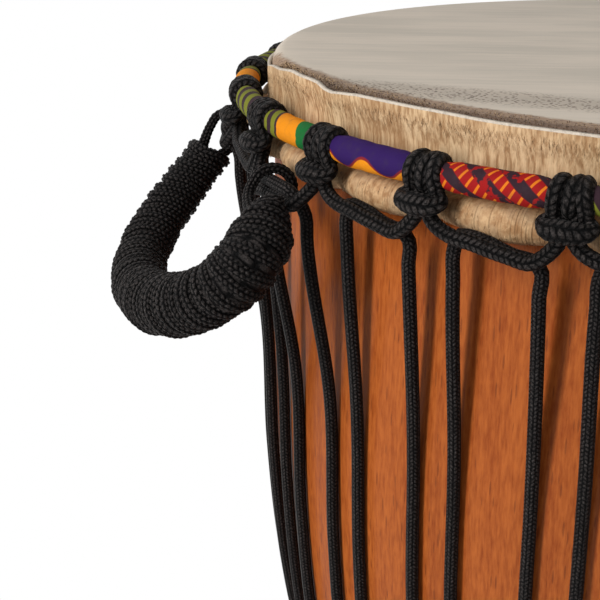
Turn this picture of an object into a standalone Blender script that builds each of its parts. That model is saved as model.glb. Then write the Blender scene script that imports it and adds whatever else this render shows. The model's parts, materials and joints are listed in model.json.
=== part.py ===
"""A rope-tuned djembe: carved goblet shell, goatskin head, iron rings, knotted cords and a rope handle.

Metres, +Z up. The origin is the centre of the foot, on the floor. The handle points along -X.
"""
import math

import bpy
from mathutils import Vector

# Overall sizes
HEIGHT = 0.620
HEAD_DIAMETER = 0.330
BOWL_HEIGHT = 0.345
NECK_DIAMETER = 0.156
FOOT_DIAMETER = 0.250

# Shell walls and bores
BOWL_WALL = 0.018
BOWL_BULGE = 0.0005
THROAT_DIAMETER = 0.100
FOOT_WALL = 0.020
FOOT_CHAMFER = 0.004
BEARING_ROUND = 0.004
BEARING_LAND = 0.0088
BEARING_BEVEL = 0.009

# Curve pulls: shares of the span that each curve runs along
BOWL_SIDE = 0.29
BOWL_BELLY = 0.667
BOWL_UNDERCUT = 0.7
BOWL_SWEEP = 0.11
NECK_BAND = 0.02
STEM_WAIST = 0.52
FOOT_SWEEP = 0.24
FOOT_FLARE = 0.78
BORE_FLARE = 0.35
BORE_FLARE_HEIGHT = 0.36
BORE_STRAIGHT = 0.85
HOLLOW_START = 0.04
HOLLOW_SPREAD = 0.72
HOLLOW_SWEEP = 0.17
HOLLOW_BELLY = 0.36
HOLLOW_SIDE = 0.70

# Skin and rings
SKIN = 0.0009
FLESH_ROD_DIAMETER = 0.0048
CROWN_ROD_DIAMETER = 0.0046
CLOTH = 0.0008
BOTTOM_ROD_DIAMETER = 0.0060
CROWN_DROP = 0.0135
COLLAR_RISE = 0.002
COLLAR_FLARE = 0.0028
COLLAR_FOLD = 0.0027
FOLD_START = 180.0
FOLD_END = 468.0
CLOTH_SEAM_START = 195.0
CLOTH_SEAM_END = 525.0
BOTTOM_SEAT = 0.965
BOTTOM_LOOP = 0.90

# Cords
KNOTS = 26
CORD = 0.0036
ROPE = 0.0040
LOOP_DROP = 0.033
LOOP_STANDOFF = 0.007
LOOP_END = 0.006
HITCH_HALF_WIDTH = 0.0040
NECK_HALF_WIDTH = 0.0023
HITCH_ARC = math.radians(65.0)
VERTICAL_OFFSET = math.radians(2.6)
LACING_TURN = 0.0025
LACING_STATIONS = (0.0, 0.27, 0.47, 0.63, 0.77)
BOTTOM_LOOP_HALF = 0.15
BOTTOM_TURN_START = math.radians(30.0)
BOTTOM_TURN_ARC = math.radians(72.0)
BOTTOM_TURN_RISE = 0.00468

# Handle
HANDLE_DIAMETER = 0.020
HANDLE_BORE = 0.0100
HANDLE_CORNERS = ((0.064, 0.028), (0.085, 0.031), (0.032, -0.144))
HANDLE_DROOP = math.radians(48.0)
HANDLE_EYE = 0.0069
HANDLE_BACK_BARE = 0.017
HANDLE_FRONT_BARE = 0.029
HANDLE_EYE_START = math.radians(65.0)
HANDLE_EYE_ARC = math.radians(46.0)
HANDLE_COVER_INSET = 0.02

# Fits and mesh density
GAP = 0.0003
TURNS = 2 * KNOTS
ROD_SIDES = 6
ROUND_STEPS = 2
FOLD_STEPS = 5
BOWL_STEPS = 6
STEM_STEPS = 4
HOLLOW_STEPS = 4
HITCH_STEPS = 4
BOTTOM_TURN_STEPS = 4
EYE_STEPS = 5
CORE_STEPS = 14
COVER_STEPS = 18
COVER_BEVEL = 3

# Derived places shared by several pieces
PITCH = 2.0 * math.pi / KNOTS
HEAD_RADIUS = HEAD_DIAMETER / 2.0
SKIN_MID = HEAD_RADIUS - SKIN / 2.0
SHELL_RADIUS = HEAD_RADIUS - SKIN - GAP
COLLAR_MID = HEAD_RADIUS + GAP + SKIN / 2.0
FOLD_MID = FLESH_ROD_DIAMETER / 2.0 + 2.0 * GAP + SKIN / 2.0 + GAP
CLOTH_RADIUS = CROWN_ROD_DIAMETER / 2.0 + GAP + CLOTH
HITCH_RADIUS = (CLOTH_RADIUS + GAP + CORD / 2.0) / math.cos(HITCH_ARC / 2.0)
CROWN_RADIUS = COLLAR_MID + SKIN / 2.0 + GAP + CORD / 2.0 + HITCH_RADIUS
CROWN_Z = HEIGHT - CROWN_DROP
FLESH_RADIUS = SKIN_MID + FOLD_MID
RING_SPACING = HITCH_RADIUS + CORD / 2.0 + GAP + FOLD_MID + SKIN / 2.0
FLESH_Z = CROWN_Z - math.sqrt(RING_SPACING ** 2 - (CROWN_RADIUS - FLESH_RADIUS) ** 2)
LOOP_RADIUS = CROWN_RADIUS + LOOP_STANDOFF
LOOP_Z = HEIGHT - LOOP_DROP
STRAND_STEP = CORD / 2.0 + GAP + ROPE / 2.0


def clear_scene():
    """Remove every object that the open file holds."""
    for obj in list(bpy.data.objects):
        bpy.data.objects.remove(obj, do_unlink=True)


def make_material(name, colour, roughness, metallic=0.0):
    """A Principled material with one colour and finish."""
    material = bpy.data.materials.new(name)
    material.use_nodes = True
    shader = material.node_tree.nodes["Principled BSDF"]
    shader.inputs["Base Color"].default_value = (*colour, 1.0)
    shader.inputs["Roughness"].default_value = roughness
    shader.inputs["Metallic"].default_value = metallic
    return material


def add_object(name, data, material, location=(0.0, 0.0, 0.0)):
    """Link an object into the drum's collection."""
    obj = bpy.data.objects.new(name, data)
    obj.data.materials.append(material)
    obj.location = location
    bpy.data.collections["djembe"].objects.link(obj)
    return obj


def turned(name, profile, material, closed=True):
    """Spin an (r, z) profile round the drum's axis."""
    mesh = bpy.data.meshes.new(name)
    count = len(profile)
    edges = [(i, i + 1) for i in range(count - 1)]
    if closed:
        edges.append((count - 1, 0))
    mesh.from_pydata([(r, 0.0, z) for r, z in profile], edges, [])
    obj = add_object(name, mesh, material)
    screw = obj.modifiers.new("Turn", "SCREW")
    screw.axis = "Z"
    screw.angle = 2.0 * math.pi
    screw.steps = TURNS
    screw.render_steps = TURNS
    screw.use_merge_vertices = True
    screw.merge_threshold = 0.00001
    screw.use_smooth_shade = True
    return obj


def cord(name, points, diameter, material, location=(0.0, 0.0, 0.0), sides=0):
    """A closed loop of cord through the points, as a beveled poly curve."""
    curve = bpy.data.curves.new(name, "CURVE")
    curve.dimensions = "3D"
    curve.bevel_depth = diameter / 2.0
    curve.bevel_resolution = sides
    curve.resolution_u = 1
    curve.render_resolution_u = 0
    spline = curve.splines.new("POLY")
    spline.points.add(len(points) - 1)
    for point, place in zip(spline.points, points):
        point.co = (*(Vector(place) - Vector(location)), 1.0)
    spline.use_cyclic_u = True
    return add_object(name, curve, material, location)


def polar(angle, radius, z, along=0.0):
    """A point on a circle about the axis, moved a distance along the circle."""
    turn = angle + along / radius
    return Vector((radius * math.cos(turn), radius * math.sin(turn), z))


def bezier(start, pull_start, pull_end, end, t):
    """A point on a cubic curve."""
    weights = ((1 - t) ** 3, 3 * t * (1 - t) ** 2, 3 * t * t * (1 - t), t ** 3)
    corners = (start, pull_start, pull_end, end)
    return sum((Vector(c) * w for c, w in zip(corners, weights)), Vector(start) * 0.0)


def arc(centre, radius, first, last, steps):
    """Points on a circular arc in the (r, z) plane, with angles in degrees."""
    points = []
    for i in range(steps + 1):
        angle = math.radians(first + (last - first) * i / steps)
        points.append((centre[0] + radius * math.cos(angle), centre[1] + radius * math.sin(angle)))
    return points


def offset_path(path, distance):
    """Move an open (r, z) path sideways, to its left as it runs, with mitred corners."""
    moved = []
    for i, point in enumerate(path):
        here = Vector(point)
        before = here - Vector(path[i - 1]) if i > 0 else None
        after = Vector(path[i + 1]) - here if i + 1 < len(path) else None
        directions = [d.normalized() for d in (before, after) if d is not None]
        normals = [Vector((-d.y, d.x)) for d in directions]
        normal = sum(normals, Vector((0.0, 0.0))).normalized()
        stretch = 1.0 / max(0.5, normal.dot(normals[0]))
        moved.append(tuple(here + normal * distance * stretch))
    return moved


# Shell
BOWL_TOP_Z = HEIGHT - SKIN - GAP
NECK_Z = HEIGHT - BOWL_HEIGHT
NECK_RADIUS = NECK_DIAMETER / 2.0
FOOT_RADIUS = FOOT_DIAMETER / 2.0
BOWL_CURVE = (
    (SHELL_RADIUS + BOWL_BULGE, HEIGHT - BOWL_SIDE * BOWL_HEIGHT),
    (SHELL_RADIUS + BOWL_BULGE, HEIGHT - BOWL_BELLY * BOWL_HEIGHT),
    (NECK_RADIUS + BOWL_UNDERCUT * (SHELL_RADIUS - NECK_RADIUS), NECK_Z + BOWL_SWEEP * BOWL_HEIGHT),
    (NECK_RADIUS, NECK_Z),
)
STEM_CURVE = (
    (NECK_RADIUS, NECK_Z - NECK_BAND * NECK_Z),
    (NECK_RADIUS, STEM_WAIST * NECK_Z),
    (FOOT_FLARE * FOOT_RADIUS, FOOT_SWEEP * NECK_Z),
    (FOOT_RADIUS, FOOT_CHAMFER),
)


def bowl_point(t, offset=0.0):
    """A point (r, z) on the bowl's outside at t from 0 (straight side) to 1 (neck), lifted off it."""
    step = 0.001
    low = max(0.0, t - step)
    high = min(1.0, t + step)
    tangent = (bezier(*BOWL_CURVE, high) - bezier(*BOWL_CURVE, low)).normalized()
    normal = Vector((-tangent.y, tangent.x))
    return bezier(*BOWL_CURVE, t) + normal * offset


def build_shell():
    """The carved goblet: rounded bearing edge, bowl, flared stem, and a bore right through."""
    wood = make_material("shell_wood", (0.33, 0.115, 0.04), 0.38)
    corner = (SHELL_RADIUS - BEARING_ROUND, BOWL_TOP_Z - BEARING_ROUND)
    rim = arc(corner, BEARING_ROUND, 90, 0, ROUND_STEPS)
    outside = [tuple(bezier(*BOWL_CURVE, i / BOWL_STEPS)) for i in range(BOWL_STEPS + 1)]
    stem = [tuple(bezier(*STEM_CURVE, i / STEM_STEPS)) for i in range(STEM_STEPS + 1)]
    foot_inner = FOOT_RADIUS - FOOT_WALL
    foot = [(FOOT_RADIUS - FOOT_CHAMFER, 0.0), (foot_inner, 0.0)]
    throat = THROAT_DIAMETER / 2
    flare = throat + BORE_FLARE * (foot_inner - throat)
    bore = [(flare, BORE_FLARE_HEIGHT * NECK_Z), (throat, BORE_STRAIGHT * NECK_Z)]
    hollow_radius = SHELL_RADIUS - BOWL_WALL
    hollow_curve = (
        (throat, NECK_Z + HOLLOW_START * BOWL_HEIGHT),
        (throat + HOLLOW_SPREAD * (hollow_radius - throat), NECK_Z + HOLLOW_SWEEP * BOWL_HEIGHT),
        (hollow_radius, NECK_Z + HOLLOW_BELLY * BOWL_HEIGHT),
        (hollow_radius, NECK_Z + HOLLOW_SIDE * BOWL_HEIGHT),
    )
    hollow = [tuple(bezier(*hollow_curve, i / HOLLOW_STEPS)) for i in range(HOLLOW_STEPS + 1)]
    bevel = [(hollow_radius, BOWL_TOP_Z - BEARING_BEVEL), (SHELL_RADIUS - BEARING_LAND, BOWL_TOP_Z)]
    turned("shell", rim + outside + stem + foot + bore + hollow + bevel, wood)


def build_head():
    """The skin: playing surface, side, fold round the flesh ring, and the collar turned up."""
    skin = make_material("goatskin", (0.62, 0.50, 0.36), 0.6)
    top = HEIGHT - SKIN / 2.0
    path = [(0.0, top)]
    path += arc((SKIN_MID - BEARING_ROUND, top - BEARING_ROUND), BEARING_ROUND, 90, 0, ROUND_STEPS)
    path += arc((FLESH_RADIUS, FLESH_Z), FOLD_MID, FOLD_START, FOLD_END, FOLD_STEPS)
    path.append((COLLAR_MID, FLESH_Z + FOLD_MID + COLLAR_FOLD))
    path.append((COLLAR_MID, CROWN_Z + HITCH_RADIUS + CORD / 2.0))
    path.append((COLLAR_MID + COLLAR_FLARE, HEIGHT + COLLAR_RISE))
    upper = offset_path(path, SKIN / 2.0)
    under = offset_path(path, -SKIN / 2.0)
    upper[0] = (0.0, HEIGHT)
    under[0] = (0.0, HEIGHT - SKIN)
    turned("drum_head", upper + under[::-1], skin, closed=False)


def build_rings():
    """The iron rings, and the cotton wrapped round the crown ring."""
    iron = make_material("ring_iron", (0.10, 0.10, 0.105), 0.5, 0.9)
    cotton = make_material("printed_cotton", (0.30, 0.14, 0.34), 0.85)
    rods = (
        ("flesh_ring", FLESH_RADIUS, FLESH_Z, FLESH_ROD_DIAMETER),
        ("crown_ring", CROWN_RADIUS, CROWN_Z, CROWN_ROD_DIAMETER),
        ("bottom_ring", BOTTOM_RADIUS, BOTTOM_Z, BOTTOM_ROD_DIAMETER),
    )
    for name, radius, z, diameter in rods:
        section = arc((radius, z), diameter / 2.0, 0, -360, ROD_SIDES)
        turned(name, section[:-1], iron.copy())
    centre = (CROWN_RADIUS, CROWN_Z)
    inner_radius = CLOTH_RADIUS - CLOTH + GAP / 2
    inner = arc(centre, inner_radius, CLOTH_SEAM_START, CLOTH_SEAM_END, ROD_SIDES)
    outer = arc(centre, CLOTH_RADIUS, CLOTH_SEAM_END, CLOTH_SEAM_START, ROD_SIDES)
    turned("crown_ring_cloth", outer + inner, cotton)


# Bottom ring, seated under the bowl with room for its cord
BOTTOM_HITCH = (BOTTOM_ROD_DIAMETER / 2.0 + GAP + CORD / 2.0) / math.cos(BOTTOM_TURN_ARC / 2.0)
BOTTOM_RADIUS, BOTTOM_Z = bowl_point(BOTTOM_SEAT, BOTTOM_HITCH + CORD / 2.0 + 4.0 * GAP)


def knot_angles():
    """The crown ring's knots, placed evenly either side of the handle's middle."""
    return [math.pi + (k + 0.5) * PITCH for k in range(KNOTS)]


def build_crown_cord():
    """One cord round the drum: a cow hitch at each knot and a loop hanging between two knots."""
    black = make_material("black_cord", (0.018, 0.018, 0.02), 0.7)
    points = []
    for angle in knot_angles():
        left = [
            polar(angle, LOOP_RADIUS, LOOP_Z, -LOOP_END),
            polar(angle, CROWN_RADIUS + 0.5 * LOOP_STANDOFF, 0.5 * (LOOP_Z + CROWN_Z), -NECK_HALF_WIDTH),
        ]
        for i in range(HITCH_STEPS + 1):
            turn = math.radians(270.0) - i * HITCH_ARC
            share = i / HITCH_STEPS
            side = NECK_HALF_WIDTH + share * (HITCH_HALF_WIDTH - NECK_HALF_WIDTH)
            radius = CROWN_RADIUS + HITCH_RADIUS * math.cos(turn)
            left.append(polar(angle, radius, CROWN_Z + HITCH_RADIUS * math.sin(turn), -side))
        bar_z = CROWN_Z - HITCH_RADIUS - CORD / 4.0
        left.append(polar(angle, CROWN_RADIUS + HITCH_RADIUS, bar_z, -HITCH_HALF_WIDTH))
        right = [polar(2 * angle - math.atan2(p.y, p.x), Vector(p[:2]).length, p.z) for p in left]
        points += left + right[::-1]
    cord("crown_ring_cord", points, CORD, black)


def build_bottom_cord():
    """One cord round the neck: a round turn on the ring between two loops that stand up the bowl."""
    black = make_material("black_bottom_cord", (0.018, 0.018, 0.02), 0.7)
    lift = ROPE + CORD / 2.0 + 3.0 * GAP
    loop_r, loop_z = bowl_point(BOTTOM_LOOP, lift)
    points = []
    for angle in knot_angles():
        middle = angle + PITCH / 2.0
        points.append(polar(angle - BOTTOM_LOOP_HALF * PITCH, loop_r, loop_z))
        points.append(polar(angle + BOTTOM_LOOP_HALF * PITCH, loop_r, loop_z))
        for i in range(BOTTOM_TURN_STEPS + 1):
            turn = BOTTOM_TURN_START - i * BOTTOM_TURN_ARC
            radius = BOTTOM_RADIUS + BOTTOM_HITCH * math.cos(turn)
            along = BOTTOM_TURN_RISE * (i / BOTTOM_TURN_STEPS - 0.5)
            points.append(polar(middle, radius, BOTTOM_Z + BOTTOM_HITCH * math.sin(turn), along))
    cord("bottom_ring_cord", points, CORD, black)


def build_lacing():
    """One rope: over each upper loop, down the bowl either side of a knot, round each lower loop."""
    black = make_material("black_rope", (0.018, 0.018, 0.02), 0.65)
    rest = ROPE / 2.0 + 5.0 * GAP
    behind = LOOP_RADIUS - STRAND_STEP - GAP
    points = []
    for angle in knot_angles():
        down = [
            polar(angle - VERTICAL_OFFSET, LOOP_RADIUS, LOOP_Z + STRAND_STEP, -LACING_TURN),
            polar(angle - VERTICAL_OFFSET, behind, LOOP_Z),
        ]
        for t in LACING_STATIONS:
            r, z = bowl_point(t, rest)
            down.append(polar(angle - VERTICAL_OFFSET, r, z))
        r, z = bowl_point(BOTTOM_LOOP, ROPE / 2.0 + 2.0 * GAP)
        down.append(polar(angle - VERTICAL_OFFSET, r, z))
        up = [polar(2 * angle - math.atan2(p.y, p.x), Vector(p[:2]).length, p.z) for p in down]
        points += down + up[::-1]
    cord("lacing", points, ROPE, black)


# Handle, hung from the two loops that are next but one to each other
HINGE_HALF = LOOP_RADIUS * math.sin(PITCH)
HINGE = Vector((-LOOP_RADIUS * math.cos(PITCH), 0.0, LOOP_Z + STRAND_STEP / 2.0))
OUT = Vector((-math.cos(HANDLE_DROOP), 0.0, -math.sin(HANDLE_DROOP)))
SIDE = Vector((math.sin(HANDLE_DROOP), 0.0, -math.cos(HANDLE_DROOP)))


def handle_line(t):
    """The handle's centre line, from its back eye to its front eye, in the plane it hangs in."""
    points = [HINGE + Vector((0.0, HINGE_HALF, 0.0))]
    points += [HINGE + out * OUT + Vector((0.0, along, 0.0)) for out, along in HANDLE_CORNERS]
    points.append(HINGE - Vector((0.0, HINGE_HALF, 0.0)))
    while len(points) > 1:
        points = [a.lerp(b, t) for a, b in zip(points, points[1:])]
    return points[0]


def bare_share(end, way, bare):
    """How far along its centre line the handle's rope is bare, from the eye at one end of it."""
    t = end
    while (handle_line(t) - handle_line(end)).length < bare:
        t += way * 0.002
    return t


def build_handle():
    """A rope loop through two of the crown cord's loops, and the hitched cord that covers it."""
    black = make_material("black_handle_rope", (0.018, 0.018, 0.02), 0.7)
    cover_black = make_material("black_handle_cover", (0.016, 0.016, 0.018), 0.75)
    first = bare_share(0.0, 1.0, HANDLE_BACK_BARE)
    strand = CORD / 2.0 + GAP
    covered = bare_share(1.0, -1.0, HANDLE_FRONT_BARE) - first
    inside = [first + covered * i / CORE_STEPS for i in range(CORE_STEPS + 1)]
    points = []
    for direction in (1.0, -1.0):
        eye = HINGE + Vector((0.0, direction * HINGE_HALF, 0.0))
        for i in range(EYE_STEPS + 1):
            turn = direction * (HANDLE_EYE_START + i * HANDLE_EYE_ARC)
            points.append(eye + HANDLE_EYE * (math.cos(turn) * OUT + math.sin(turn) * SIDE))
        shares = inside if direction > 0 else inside[::-1]
        points += [handle_line(t) - direction * strand * SIDE for t in shares]
    cord("handle_core", points, CORD, black, HINGE)

    curve = bpy.data.curves.new("handle_cover", "CURVE")
    curve.dimensions = "3D"
    curve.bevel_depth = HANDLE_DIAMETER / 2.0
    curve.bevel_resolution = COVER_BEVEL
    curve.resolution_u = 1
    curve.render_resolution_u = 0
    spline = curve.splines.new("POLY")
    shares = [i / COVER_STEPS for i in range(COVER_STEPS + 1)]
    stations = [first + covered * (HANDLE_COVER_INSET + (1 - 2 * HANDLE_COVER_INSET) * s) for s in shares]
    spline.points.add(len(stations) - 1)
    for point, t in zip(spline.points, stations):
        point.co = (*(handle_line(t) - HINGE), 1.0)
    cover = add_object("handle_cover", curve, cover_black, HINGE)
    wall = cover.modifiers.new("Bore", "SOLIDIFY")
    wall.thickness = (HANDLE_DIAMETER - HANDLE_BORE) / 2.0
    wall.offset = -1.0


def main():
    """Build the drum."""
    clear_scene()
    collection = bpy.data.collections.new("djembe")
    bpy.context.scene.collection.children.link(collection)
    build_shell()
    build_head()
    build_rings()
    build_crown_cord()
    build_bottom_cord()
    build_lacing()
    build_handle()


main()
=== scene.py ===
"""Looks of a rope-tuned djembe: shell, goatskin, printed cotton, braided cords and rope handle.

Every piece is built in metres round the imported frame, +Z up, with the foot's centre at the origin.
"""

import json
import math

import bmesh
import bpy
import numpy as np
from bpy.props import FloatProperty, FloatVectorProperty, PointerProperty
from mathutils import Matrix, Vector


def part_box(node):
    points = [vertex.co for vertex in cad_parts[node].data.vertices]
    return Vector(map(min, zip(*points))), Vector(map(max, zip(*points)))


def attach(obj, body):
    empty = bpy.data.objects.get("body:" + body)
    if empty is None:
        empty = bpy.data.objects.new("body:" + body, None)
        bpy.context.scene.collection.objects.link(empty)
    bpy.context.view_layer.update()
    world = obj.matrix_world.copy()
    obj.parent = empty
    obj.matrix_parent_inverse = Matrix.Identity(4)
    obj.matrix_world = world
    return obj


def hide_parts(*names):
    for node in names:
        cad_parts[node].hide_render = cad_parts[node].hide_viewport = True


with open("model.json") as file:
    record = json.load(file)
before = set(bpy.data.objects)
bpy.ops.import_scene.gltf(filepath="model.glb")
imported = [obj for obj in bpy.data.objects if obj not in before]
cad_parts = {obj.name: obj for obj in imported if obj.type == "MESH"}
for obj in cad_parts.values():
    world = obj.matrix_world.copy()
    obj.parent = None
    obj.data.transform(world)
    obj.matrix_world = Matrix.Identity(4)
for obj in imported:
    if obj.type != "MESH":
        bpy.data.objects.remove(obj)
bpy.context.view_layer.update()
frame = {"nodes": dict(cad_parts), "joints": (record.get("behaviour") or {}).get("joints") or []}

bl_info = {
    "name": "Djembe looks",
    "version": (1, 0, 0),
    "blender": (4, 5, 0),
    "location": "3D View > Sidebar > Djembe",
    "description": "Builds the visible pieces of a rope-tuned djembe round its frame",
    "category": "Object",
}


def rod_size(node):
    """Middle radius, height and rod radius of a six-sided turned ring in the frame."""
    low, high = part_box(node)
    rod = (high.z - low.z) / 2.0 / math.sin(math.radians(60.0))
    return high.x - rod, (high.z + low.z) / 2.0, rod


# The drum's layout: its count of knots and thin gaps, then the places read from the frame
ROUND = 2.0 * math.pi
KNOTS = 26
PITCH = ROUND / KNOTS
KNOT_ANGLES = [math.pi + (k + 0.5) * PITCH for k in range(KNOTS)]
SKIN = 0.0009
GAP = 0.0003
CROWN_RADIUS, CROWN_Z = rod_size("crown_ring")[:2]
FLESH_RADIUS, FLESH_Z, FLESH_ROD = rod_size("flesh_ring")
BOTTOM_RADIUS, BOTTOM_Z, BOTTOM_ROD = rod_size("bottom_ring")
BOWL_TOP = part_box("shell")[1].z
HEIGHT = BOWL_TOP + SKIN + GAP
HEAD_RADIUS = FLESH_RADIUS - FLESH_ROD - 3.0 * GAP
SKIN_MID = HEAD_RADIUS - SKIN / 2.0
SHELL_RADIUS = HEAD_RADIUS - SKIN - GAP
COLLAR_MID = HEAD_RADIUS + GAP + SKIN / 2.0
FOLD_MID = FLESH_RADIUS - SKIN_MID
HINGE = Vector(frame["joints"][0]["pos_m"])
LOOP_RADIUS = CROWN_RADIUS + 0.007
LOOP_Z = HEIGHT - 0.033
STRAND_STEP = 0.0041

# The shaved patch of the head is a circle whose centre lies off the drum's axis
SHAVED_SHIFT = 0.0332
SHAVED_RADIUS = 0.1802
HAIRY_ANGLE = math.radians(235.0)

# The shell's turned outline: each curve is four (radius, height) corners
BOWL_HEIGHT = 0.345
NECK_Z = HEIGHT - BOWL_HEIGHT
NECK_RADIUS = 0.078
FOOT_RADIUS = 0.125
FOOT_CHAMFER = 0.004
FOOT_WALL = 0.020
THROAT = 0.050
HOLLOW = SHELL_RADIUS - 0.018
BOWL_SIDE = SHELL_RADIUS + 0.0005
BEARING_ROUND = 0.004
BOWL_CURVE = (
    (BOWL_SIDE, HEIGHT - 0.29 * BOWL_HEIGHT),
    (BOWL_SIDE, HEIGHT - 0.667 * BOWL_HEIGHT),
    (NECK_RADIUS + 0.7 * (SHELL_RADIUS - NECK_RADIUS), NECK_Z + 0.11 * BOWL_HEIGHT),
    (NECK_RADIUS, NECK_Z),
)
STEM_CURVE = (
    (NECK_RADIUS, 0.98 * NECK_Z),
    (NECK_RADIUS, 0.52 * NECK_Z),
    (0.78 * FOOT_RADIUS, 0.24 * NECK_Z),
    (FOOT_RADIUS, FOOT_CHAMFER),
)
BORE_CURVE = (
    (FOOT_RADIUS - FOOT_WALL, 0.0),
    (THROAT + 0.45 * (FOOT_RADIUS - FOOT_WALL - THROAT), 0.30 * NECK_Z),
    (THROAT, 0.55 * NECK_Z),
    (THROAT, 0.85 * NECK_Z),
)
HOLLOW_CURVE = (
    (THROAT, NECK_Z + 0.04 * BOWL_HEIGHT),
    (THROAT + 0.72 * (HOLLOW - THROAT), NECK_Z + 0.17 * BOWL_HEIGHT),
    (HOLLOW, NECK_Z + 0.36 * BOWL_HEIGHT),
    (HOLLOW, NECK_Z + 0.70 * BOWL_HEIGHT),
)

# The handle's centre line: corners (outward, along Y) of the curve between its two eyes
HANDLE_HALF = LOOP_RADIUS * math.sin(PITCH)
HANDLE_CORNERS = ((0.064, 0.028), (0.085, 0.031), (0.032, -0.144))
HANDLE_BACK_BARE = 0.017
HANDLE_FRONT_BARE = 0.029
HANDLE_DROOP = math.radians(48.0)
HANDLE_OUT = Vector((-math.cos(HANDLE_DROOP), 0.0, -math.sin(HANDLE_DROOP)))
HANDLE_SIDE = Vector((math.sin(HANDLE_DROOP), 0.0, -math.cos(HANDLE_DROOP)))
HANDLE_LOOPS = (0, KNOTS - 2)


def plain(name, description, default, **kind):
    """A setting that is a number."""
    return FloatProperty(name=name, description=description, default=default, **kind)


def metres(name, description, default):
    """A setting that is a length."""
    return plain(name, description, default, unit="LENGTH")


def tilt(name, description, default):
    """A setting that is an angle."""
    return plain(name, description, default, subtype="ANGLE")


def tint(name, description, *default):
    """A setting that is a colour."""
    return FloatVectorProperty(name=name, description=description, default=default, subtype="COLOR")


class DjembeSizes(bpy.types.PropertyGroup):
    """Sizes of the visible pieces."""

    cord: metres("Crown cord", "Diameter of the knotted cord", 0.0043)
    rope: metres("Lacing rope", "Diameter of the upright rope", 0.0041)
    cloth: metres("Cloth wrap", "Outer radius of the wrapped ring", 0.0041)
    fold_bulge: metres("Fold bulge", "How far the skin's roll swells between knots", 0.0019)
    collar_wave: metres("Collar wave", "How unevenly the collar's edge was cut", 0.00012)
    collar_skin: metres("Collar thickness", "Thickness of the hairy collar", 0.0013)
    hair: metres("Hair length", "Length of a collar hair", 0.0042)
    wrap: metres("Handle wrap", "Greatest outer diameter of the handle's cover", 0.0202)
    wrap_cord: metres("Wrap cord", "Diameter of the handle's hitched cord", 0.0042)
    wrap_pitch: metres("Wrap pitch", "Distance from one turn to the next", 0.0038)


class DjembeColours(bpy.types.PropertyGroup):
    """Colours of the finishes, in linear light."""

    wood_light: tint("Wood, light", "Light grain of the varnished wood", 0.415, 0.108, 0.021)
    wood_dark: tint("Wood, dark", "Dark grain of the varnished wood", 0.235, 0.046, 0.008)
    wood_raw: tint("Wood, inside", "Unvarnished wood of the bore", 0.42, 0.25, 0.13)
    skin: tint("Skin", "Shaved playing surface", 0.69, 0.60, 0.50)
    skin_grey: tint("Skin, grey", "Greyer streaks of the playing surface", 0.565, 0.498, 0.415)
    hair_light: tint("Hair, light", "Lightest hairs", 0.70, 0.49, 0.285)
    hair_dark: tint("Hair, dark", "Darkest hairs", 0.37, 0.205, 0.095)
    stubble: tint("Stubble", "Shaved hair roots", 0.075, 0.042, 0.026)
    cut: tint("Cut edge", "Cut edge of the collar", 0.60, 0.52, 0.43)
    # The two cord colours paint light: the crests' colour is a painted grey highlight, the grooves' colour
    # is painted shade.
    cord: tint("Cord", "Crests of the black cord", 0.068, 0.0585, 0.0550)
    cord_groove_shade: tint("Cord groove", "Grooves of the black cord", 0.0008, 0.0007, 0.0008)
    violet: tint("Violet", "Violet print", 0.027, 0.010, 0.082)
    orange: tint("Orange", "Orange print", 0.72, 0.245, 0.010)
    olive: tint("Olive", "Olive print", 0.165, 0.175, 0.018)
    green: tint("Green", "Green print", 0.010, 0.125, 0.028)
    red: tint("Red", "Red print", 0.30, 0.010, 0.010)
    outline: tint("Outline", "Dark lines of the prints", 0.030, 0.014, 0.020)


class DjembeStage(bpy.types.PropertyGroup):
    """Camera and studio light."""

    camera_angle: tilt("Camera angle", "Where the camera stands round the drum", math.radians(239.5))
    camera_distance: metres("Camera distance", "From the drum's axis", 0.4948)
    camera_height: metres("Camera height", "Above the floor", 0.6916)
    camera_turn: tilt("Camera turn", "Left of the drum's axis", 0.317)
    camera_pitch: tilt("Camera pitch", "Below level", 0.343)
    camera_roll: tilt("Camera roll", "About the view axis", 0.010)
    lens: plain("Lens", "Focal length in millimetres", 77.84)
    key_power: plain("Key light", "Power in watts", 17.6)
    fill_power: plain("Fill light", "Power in watts", 3.0)
    room_light: plain("Room light", "Strength of the even light", 0.30)


def polar(angle, radius, z, along=0.0):
    """A point at an angle round the axis, moved a distance along the circle."""
    turn = angle + along / radius
    return (radius * math.cos(turn), radius * math.sin(turn), z)


def bezier(corners, t):
    """A point on a cubic curve."""
    weights = ((1 - t) ** 3, 3 * t * (1 - t) ** 2, 3 * t * t * (1 - t), t ** 3)
    return sum(w * np.array(c, float) for c, w in zip(corners, weights))


def curve_points(corners, count):
    """Points along a cubic curve."""
    return np.array([bezier(corners, t) for t in np.linspace(0.0, 1.0, count)])


def quarter(radius, height, steps):
    """Points (r, z) on the bearing edge's rounding: a quarter turn from its top to its outside."""
    arc = np.radians(np.linspace(90.0, 0.0, steps))
    return np.stack([radius - BEARING_ROUND + BEARING_ROUND * np.cos(arc),
                     height - BEARING_ROUND + BEARING_ROUND * np.sin(arc)], axis=1)


def bowl_point(t, offset):
    """A point (r, z) off the bowl's outside, at t from 0 (straight side) to 1 (neck)."""
    step = 0.001
    ahead = bezier(BOWL_CURVE, min(1.0, t + step))
    tangent = ahead - bezier(BOWL_CURVE, max(0.0, t - step))
    tangent /= np.linalg.norm(tangent)
    return bezier(BOWL_CURVE, t) + offset * np.array((-tangent[1], tangent[0]))


def ease(value, low, high):
    """A smooth step from 0 at low to 1 at high."""
    share = np.clip((value - low) / (high - low), 0.0, 1.0)
    return share * share * (3.0 - 2.0 * share)


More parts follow.
